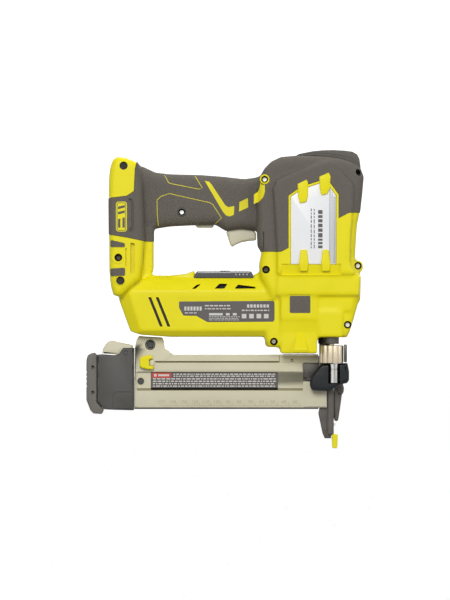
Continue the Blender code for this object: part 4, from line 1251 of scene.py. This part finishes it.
# a thin line runs under the ruler's numbers, with a step up beside each; both take the darker
# cream of painted shade
left, right, low, high = magazine["line"]
lineFace = magazine["lineFace"]
ruler = [block("rulerLine", (left, lineFace, low), (right, inlaid, high))]
ruler += [block("rulerStep", (first + 4.2 + i * pitch, lineFace, low),
                (first + 4.6 + i * pitch, inlaid, magazine["stepTop"])) for i in range(13)]
finishPiece(merged("rulerLines", *ruler), looks["creamShade"], "housing", "cream_plastic")
# another strip of painted shade lies in the groove
ledgeShades.append(patch("ledgeShade", flatTouch(magazine["lipDepth"]), magazine["grooveShade"], -1, 0.1,
                    0.3, 40))
finishPiece(bothSides("magazineLedgeShades", merged("magazineLedgeShades", *ledgeShades)), looks["olive"],
            "housing", "cream_plastic")
textRuns = dashes(-147, -49.5, 69.9, 70.9, 3) + dashes(-147, -49.5, 68.0, 69.0, 4)
for row in range(4):
    textRuns += dashes(-166.5, -49.5, 65.4 - row * 2.3, 66.5 - row * 2.3, 5 + row)
textRuns += [(-165.5, -163, 68.2, 70.7), (-161.5, -151, 68.5, 70.3)]
finishPiece(merged("magazineLabelPrint", *bars(coverTouch, textRuns, -1, 0.3, 40)),
            looks["print"], "housing", "grey_plastic")
print("magazine made")

noseJoint = {
    # blocks: low corner, high corner, and edge where it is rounded
    "bracket": ((-28.0, -9.2, 66.8), (-8.4, 9.2, 81.4), 1.0),
    "neck": ((-20.7, -8.0, 64), (-8.4, 8.0, 88), 0.8),
    "slot": ((-30, -6.2, 60), (0, 6.2, 80)),
    "guide": ((-45.9, -11.2, 81.2), (-9, 11.2, 88.6), 0.7),
    "room": ((-50, -8.1, 70), (0, 8.1, 88)),
    "neckRoom": ((-21, -20, 70), (-8, -8.1, 81.3)),
    "guideEdge": ((-45.9, -11.4, 88.4), (-9, 11.4, 89.6), 0.3),
    # screws: name, X, Z, face and size
    "screws": [("guideScrew", -34.2, 83.6, 11.6, 0.62), ("bracketScrew", -16.5, 70.8, 9.7, 0.8)],
}
bracket = block("noseBracket", *noseJoint["bracket"])
bracket = combine(bracket, [block("neck", *noseJoint["neck"])], "UNION")
bracket = combine(bracket, [block("slot", *noseJoint["slot"])])
finishPiece(bracket, looks["darkSteel"], "housing", "dark_steel", "nose_bracket")
guide = combine(block("noseGuide", *noseJoint["guide"]),
                [block(name, *noseJoint[name]) for name in ("room", "neckRoom")])
finishPiece(guide, looks["cream"], "housing", "cream_plastic")
finishPiece(block("noseGuideEdge", *noseJoint["guideEdge"]), looks["steel"], "housing", "steel")
for name, x, z, face, size in noseJoint["screws"]:
    finishPiece(screw(name, x, z, face, -5, size), looks["blackScrew"], "housing", "dark_steel")


# magazine end: grained body, end cap, release lever and spare pad

leverAxis = (-192.3, 90.8)
endLine = [(-219.5, 44), (-219.5, 89), (-215, 89.3), (-204, 88.4), (-199, 89, 3), (-196.5, 93, 3),
           (-195, 95.5, 1.5), (-184.6, 95.5), (-184.6, 36), (-204, 36.5), (-213, 37, 3)]
end = across("magazineEnd", endLine, 13.0, 1.4, 3, corner=0.8)
grooveLine = strip([(-187, 53.5), (-201.5, 53.5), (-204.6, 50.2), (-204.4, 36)], 0.8)
grooves = [sideSlab("groove", grooveLine, side, 12.2, 30) for side in sides]
end = combine(end, [block("leverRoom", (-225, -9.4, 88.2), (-180, 9.4, 110)),
                    block("heelRoom", (-199, -9.4, 83), (-180, 9.4, 92)),
                    bar("pinHole", "Y", leverAxis, 2.35, -20, 20), *grooves])
finishPiece(end, looks["blackPlastic"], "magazine_slide", "black_plastic", "magazine_end")

endCapLine = [(-229.8, 46), (-229.8, 84, 2), (-228.5, 88.5, 2), (-226, 90), (-222, 91, 1),
              (-219.9, 89), (-219.9, 43.8), (-213.4, 36.4), (-215, 32.5, 1.5), (-223, 33, 2),
              (-226, 36, 4)]
endCap = across("magazineEndCap", endCapLine, 13.0, 1.3, 3, corner=0.8)
capHoles = {"at": (77, 53), "dents": (59, 63.5, 68, 72.5), "dentX": -230.6, "dentRadius": 1.3}
capCuts = [sideSlab("hole", [(-225, z - 1.8), (-225, z + 1.8), (-223, z + 1.8, 1.6),
                             (-221.6, z, 1.6), (-223, z - 1.8, 1.6)], side, 9, 20, corner=0.3)
           for z in capHoles["at"] for side in sides]
for z in capHoles["dents"]:
    capCuts.append(bar("dent", "Y", (capHoles["dentX"], z), capHoles["dentRadius"], -20, 20, 20))
endCap = combine(endCap, capCuts)
finishPiece(endCap, looks["greyPlastic"], "magazine_slide", "grey_plastic", "magazine_end_cap")

latchLine = [(-215, 90.2), (-214, 95, 3), (-211.5, 99, 3), (-209, 101.5, 3), (-206, 102.5, 3),
             (-185.8, 98, 1), (-185.8, 90), (-190, 87.2), (-200, 89)]
latch = across("releaseLever", latchLine, 9.0, 1.5, 3, corner=0.5)
# ridges follow the lever's slope down from its high end
ridgeSizes = {"at": (-205.5, -202, -198.5, -195, -191.5, -188), "radius": 1.15, "half": 8.2,
              "from": (-206, 101.55), "slope": 0.223}
ridges = [bar("ridge", "Y", (x, ridgeSizes["from"][1]
                             - ridgeSizes["slope"] * (x - ridgeSizes["from"][0])),
              ridgeSizes["radius"], -ridgeSizes["half"], ridgeSizes["half"], 20)
          for x in ridgeSizes["at"]]
latch = merged("releaseLever", latch, *ridges)
finishPiece(latch, looks["cream"], "release_lever", "cream_plastic", "release_lever")
finishPiece(bar("leverPin", "Y", leverAxis, 2.0, -12.6, 12.6), looks["blackScrew"],
            "release_lever", "dark_steel")

clipLine = [(-179, 85.5, 1), (-177, 87.5, 2), (-170, 88.5, 1), (-167, 88.3, 1), (-166.5, 85),
            (-169.9, 84.5), (-169.9, 78.5), (-165.5, 78), (-165.5, 76), (-167, 75, 1),
            (-172, 75.2, 3), (-177, 76.5, 2), (-179, 78, 1)]
clip = slab("sparePad", clipLine, -17.5, -12.4, 1.1, 3, corner=0.4)
finishPiece(clip, looks["yellow"], "housing", "housing_plastic", "spare_pad")
print("magazine end made")


# nose: casting, depth wheel, sleeve, contact, door and latch

driverX, driverHalf = -0.5, 2.1
castLine = [(-8.1, 118.6), (-8.1, 37), (-9, 33, 3), (-5, 14, 3), (-3, 9.3), (3.1, 9.3), (3.1, 62),
            (5.5, 64), (5.5, 118.6)]
cast = across("noseCasting", castLine, 7.8, 1.0, 3)
cast = merged("noseCasting", cast, block("flange", (-12, -27.6, 118), (12, 14, 122), 0.5))
noseCuts = [block("channel", (driverX - driverHalf, -1.2, 0), (driverX + driverHalf, 1.2, 130)),
            block("feed", (-12, -1.2, 38), (0, 1.2, 79)),
            bar("rodHole", "Z", wheelAt, 3.6, 110, 130)]
# fine lines in the casting's sides: outline, how far in they go, and corner
castLines = [([(-6.6, 38), (-6.6, 60), (-1.5, 60), (-1.5, 30), (-4.5, 24)], 7.0, 1.0),
             *[(oblong(x, x + 0.8, 10, 15.6), 7.0, 0.0) for x in (-6.2, -4.4, -2.2, 0.4)],
             (oblong(-9, 6, 16.3, 17), 7.0, 0.0), (oblong(-10, 6, 33.8, 34.3), 7.4, 0.0),
             (oblong(-1.6, -1.0, 17, 55), 7.0, 0.0)]
for side in sides:
    noseCuts += [sideSlab("castLine", outline, side, depth, 20, corner=corner)
                 for outline, depth, corner in castLines]
cast = combine(cast, noseCuts)
finishPiece(cast, looks["darkSteel"], "housing", "dark_steel", "nose_casting")

wheelSizes = {"flutes": 11, "outer": 11.6, "inner": 10.3, "low": 81.0, "high": 98.0, "edge": 0.8}


def flutedLine(at, sizes, facets=8):
    ring = []
    total = sizes["flutes"] * facets
    for i in range(total):
        turn = math.tau * i / total
        phase = 0.5 + 0.5 * math.cos(turn * sizes["flutes"])
        radius = sizes["inner"] + (sizes["outer"] - sizes["inner"]) * phase ** 0.35
        ring.append((at[0] + radius * math.cos(turn), at[1] + radius * math.sin(turn)))
    return ring


wheel = slab("depthWheel", flutedLine(wheelAt, wheelSizes), wheelSizes["low"],
             wheelSizes["high"], wheelSizes["edge"], 3, axis="Z")
wheel = merged("depthWheel", wheel, lathe("screw", "Z", wheelAt, [
    (0, 122), (2.6, 122), (3.0, 121.6), (3.0, 90), (0, 90)]))
finishPiece(wheel, looks["nickel"], "depth_wheel", "nickel", "depth_wheel")

contactTop = {
    # parts round the contact's spring: a boot on the housing, a cup and a guide that lift
    "boot": oblong(-9.3, -5.4, 99.4, 105.6), "bootFrom": -11.2, "bootTo": -6, "bootEdge": 0.6,
    "cupAt": (2.7, -19.8),
    "cup": [(7.0, 106), (7.4, 106), (7.7, 105.7), (7.7, 99.6), (7.4, 99.3), (7.0, 99.3)],
    "guide": ((15.0, -23.5, 81.8), (18, -15.5, 98.8), 0.6),
}
boot = slab("liftBoot", contactTop["boot"], contactTop["bootFrom"], contactTop["bootTo"],
            contactTop["bootEdge"], corner=0.5)
finishPiece(boot, looks["satinBlack"], "housing", "black_plastic")
for piece in (lathe("springCup", "Z", contactTop["cupAt"], contactTop["cup"]),
              block("liftGuide", *contactTop["guide"])):
    finishPiece(piece, looks["darkSteel"], "contact_lift", "dark_steel")

sleeve = lathe("depthSleeve", "Z", sleeveAt, [(0, 80.6), (4.7, 80.6), (5.2, 80.1), (5.2, 76),
                                              (4.95, 75.6), (4.95, 74.9), (5.2, 74.5), (5.2, 62.4),
                                              (4.8, 62), (0, 62)])
finishPiece(sleeve, looks["drawn"], "contact_lift", "steel", "depth_sleeve")

lobeLine = [(-9, 77.5, 2), (-6, 80, 3), (-2, 80.5), (12, 80.8), (17, 81.2, 2), (18.5, 81, 1),
            (20, 73, 3), (20, 65, 3), (18, 62, 2), (15, 61.5), (12, 60, 2), (1, 54.5, 3),
            (-14, 55, 2), (-16, 56.5, 1), (-17.3, 60, 2), (-17, 65, 2), (-14, 71, 4)]
lobes = slab("contactBracket", lobeLine, -25.4, -12.5, 3.2, 6)
lobes = combine(lobes, [bar("sleeveSeat", "Z", sleeveAt, 5.7, 61.5, 90, 48),
                        slab("opening", oblong(0.2, 11.2, 61.6, 90),
                             -40, -18, corner=0.6)])
finishPiece(lobes, looks["satinBlack"], "work_contact", "black_plastic", "contact_bracket",
            angle=45)

armLine = [(0.2, 60), (0.2, 14), (4.3, 11.5), (4.3, 5.8), (8.2, 5.8), (8.2, 9.2, 1.5),
           (5.6, 13.5), (5.6, 60)]
arm = slab("workContact", armLine, -12.0, -9.8, 0.4, 2, corner=0.5)
arm = merged("workContact", arm, block("toe", (4.4, -11.0, 5.9), (8.1, 8.6, 9.1), 0.3))
finishPiece(arm, looks["darkSteel"], "work_contact", "dark_steel", "work_contact")

padLow, padHigh = padX - 2.8, padX + 2.9
pad = slab("noMarPad", [(padLow + 0.5, 0, 1.4), (padLow, 13.4, 1.6), (padHigh, 13.4, 1.6),
                        (padHigh - 0.5, 0, 1.4)], -12.5, 9.4, 0.9, 3)
pad = combine(pad, [block("toeSlot", (4.1, -11.3, 5.6), (8.4, 8.9, 9.4))])
finishPiece(pad, looks["yellow"], "work_contact", "housing_plastic", "no_mar_pad")

door = block("noseDoor", (3.5, -7.4, 21.0), (5.2, 7.4, 60.5), 0.4)
door = merged("noseDoor", door, bar("knuckle", "Y", (6.6, 22.5), 1.6, -7.4, 7.4))
finishPiece(door, looks["steel"], "nose_door", "steel", "nose_door")

clampLine = [(6.3, 59.3), (14.5, 61, 1), (15.5, 57, 2), (15, 53, 2), (13.5, 51, 2), (12, 40, 6),
             (10, 27, 2), (9, 25.5, 1), (6.5, 26, 1), (5.7, 29), (5.7, 52)]
clamp = across("jamLatch", clampLine, 6.0, 0.9, 3, corner=0.5)
clamp = combine(clamp, [slab("window", [(8.2, 46), (8.2, 30), (9.4, 30), (10.6, 40), (11, 46)],
                             -3.6, 3.6, corner=0.8)])
latchAxis, latchFace = (10.5, 56), 6.0
clamp = merged("jamLatch", clamp, bar("latchPin", "Y", latchAxis, 1.4, -7.4, 7.4),
               lathe("latchRing", "Y", latchAxis, [
                   (2.7, latchFace + 0.6), (2.4, latchFace + 0.8), (1.9, latchFace + 0.8),
                   (1.6, latchFace + 0.4), (1.6, latchFace - 0.8), (2.7, latchFace - 0.8)]))
# a near-black rod stands for the hole through the latch: painted shade
finishPiece(bar("latchHole", "Y", (10.9, 51.8), 1.35, -6.06, 6.06), looks["dark"], "jam_latch",
            "dark_steel")
finishPiece(clamp, looks["darkSteel"], "jam_latch", "dark_steel", "jam_latch")
print("nose made")


# floor, light and camera

stage = {
    "floor": 8.0, "rise": 1.2, "tone": (0.95, 0.95, 0.95), "glow": 1.0,
    "facets": 96, "world": 0.26,
    # lights: name, place, size and power; all look at the middle of the tool
    "lights": [("keyLight", (-0.35, -2.0, 1.0), (0.8, 0.8), 26),
               ("fillLight", (1.0, -1.2, 0.6), (0.8, 0.8), 5),
               ("topLight", (-0.1, 0.3, 1.5), (1.2, 0.8), 10),
               ("backLight", (0.3, 2.2, 1.0), (1.0, 1.0), 12)],
    "middle": (-0.1, 0, 0.14),
    # the camera looks level; frameHeight is what it takes in at the tool's near side
    "camera": (-0.1045, -6.0, 0.141), "frameHeight": 0.570, "nearSide": 5.98, "sensor": 36,
}


def floorLook():
    look, tree, shader = startLook("paleFloor", stage["tone"], 0.9, 0.0)
    cloud = noiseAt(tree, coordinates(tree), 300, 2)
    tree.links.new(ramp(tree, cloud, [(0.2, shadeOf(stage["tone"], 0.995)),
                                      (0.8, shadeOf(stage["tone"], 1.005))]),
                   shader.inputs["Base Color"])
    shader.inputs["Specular IOR Level"].default_value = 0.1
    shader.inputs["Emission Color"].default_value = (1, 1, 1, 1)
    shader.inputs["Emission Strength"].default_value = stage["glow"]
    return look


# a round floor that curls up into a wall on every side
work = bmesh.new()
reach, rise = stage["floor"], stage["rise"]
profile = [(reach + rise * math.sin(a), rise * (1 - math.cos(a)))
           for a in [math.radians(d) for d in range(0, 91, 6)]] + [(reach + rise, reach)]
turns = [math.tau * i / stage["facets"] for i in range(stage["facets"])]
rings = [[work.verts.new((r * math.cos(turn), r * math.sin(turn), z)) for turn in turns]
         for r, z in profile]
work.faces.new(rings[0])
for low, high in zip(rings, rings[1:]):
    for i in range(stage["facets"]):
        work.faces.new((low[i - 1], low[i], high[i], high[i - 1]))
floor = fromWork("studioFloor", work)
floor.data.shade_smooth()
floor.data.materials.append(floorLook())
# the floor shows white without throwing its own light up at the tool
floor.visible_diffuse = False

world = bpy.data.worlds.new("studio")
world.use_nodes = True
world.node_tree.nodes["Background"].inputs["Color"].default_value = (1, 1, 1, 1)
world.node_tree.nodes["Background"].inputs["Strength"].default_value = stage["world"]
bpy.context.scene.world = world


def softBox(name, place, size, power):
    lamp = bpy.data.lights.new(name, "AREA")
    lamp.shape = "RECTANGLE"
    lamp.size, lamp.size_y = size
    lamp.energy = power
    holder = bpy.data.objects.new(name, lamp)
    bpy.context.scene.collection.objects.link(holder)
    holder.location = place
    holder.visible_camera = False
    aim = Vector(stage["middle"]) - Vector(place)
    holder.rotation_euler = aim.to_track_quat("-Z", "Y").to_euler()


for light in stage["lights"]:
    softBox(*light)
# plain display tones keep the colours as they are named above
bpy.context.scene.view_settings.view_transform = "Standard"

camera = bpy.data.cameras.new("camera")
camera.sensor_width = stage["sensor"]
camera.lens = stage["sensor"] * stage["nearSide"] / stage["frameHeight"]
viewer = bpy.data.objects.new("camera", camera)
bpy.context.scene.collection.objects.link(viewer)
viewer.location = stage["camera"]
viewer.rotation_euler = (math.radians(90), 0, 0)
bpy.context.scene.camera = viewer


print("scene made")
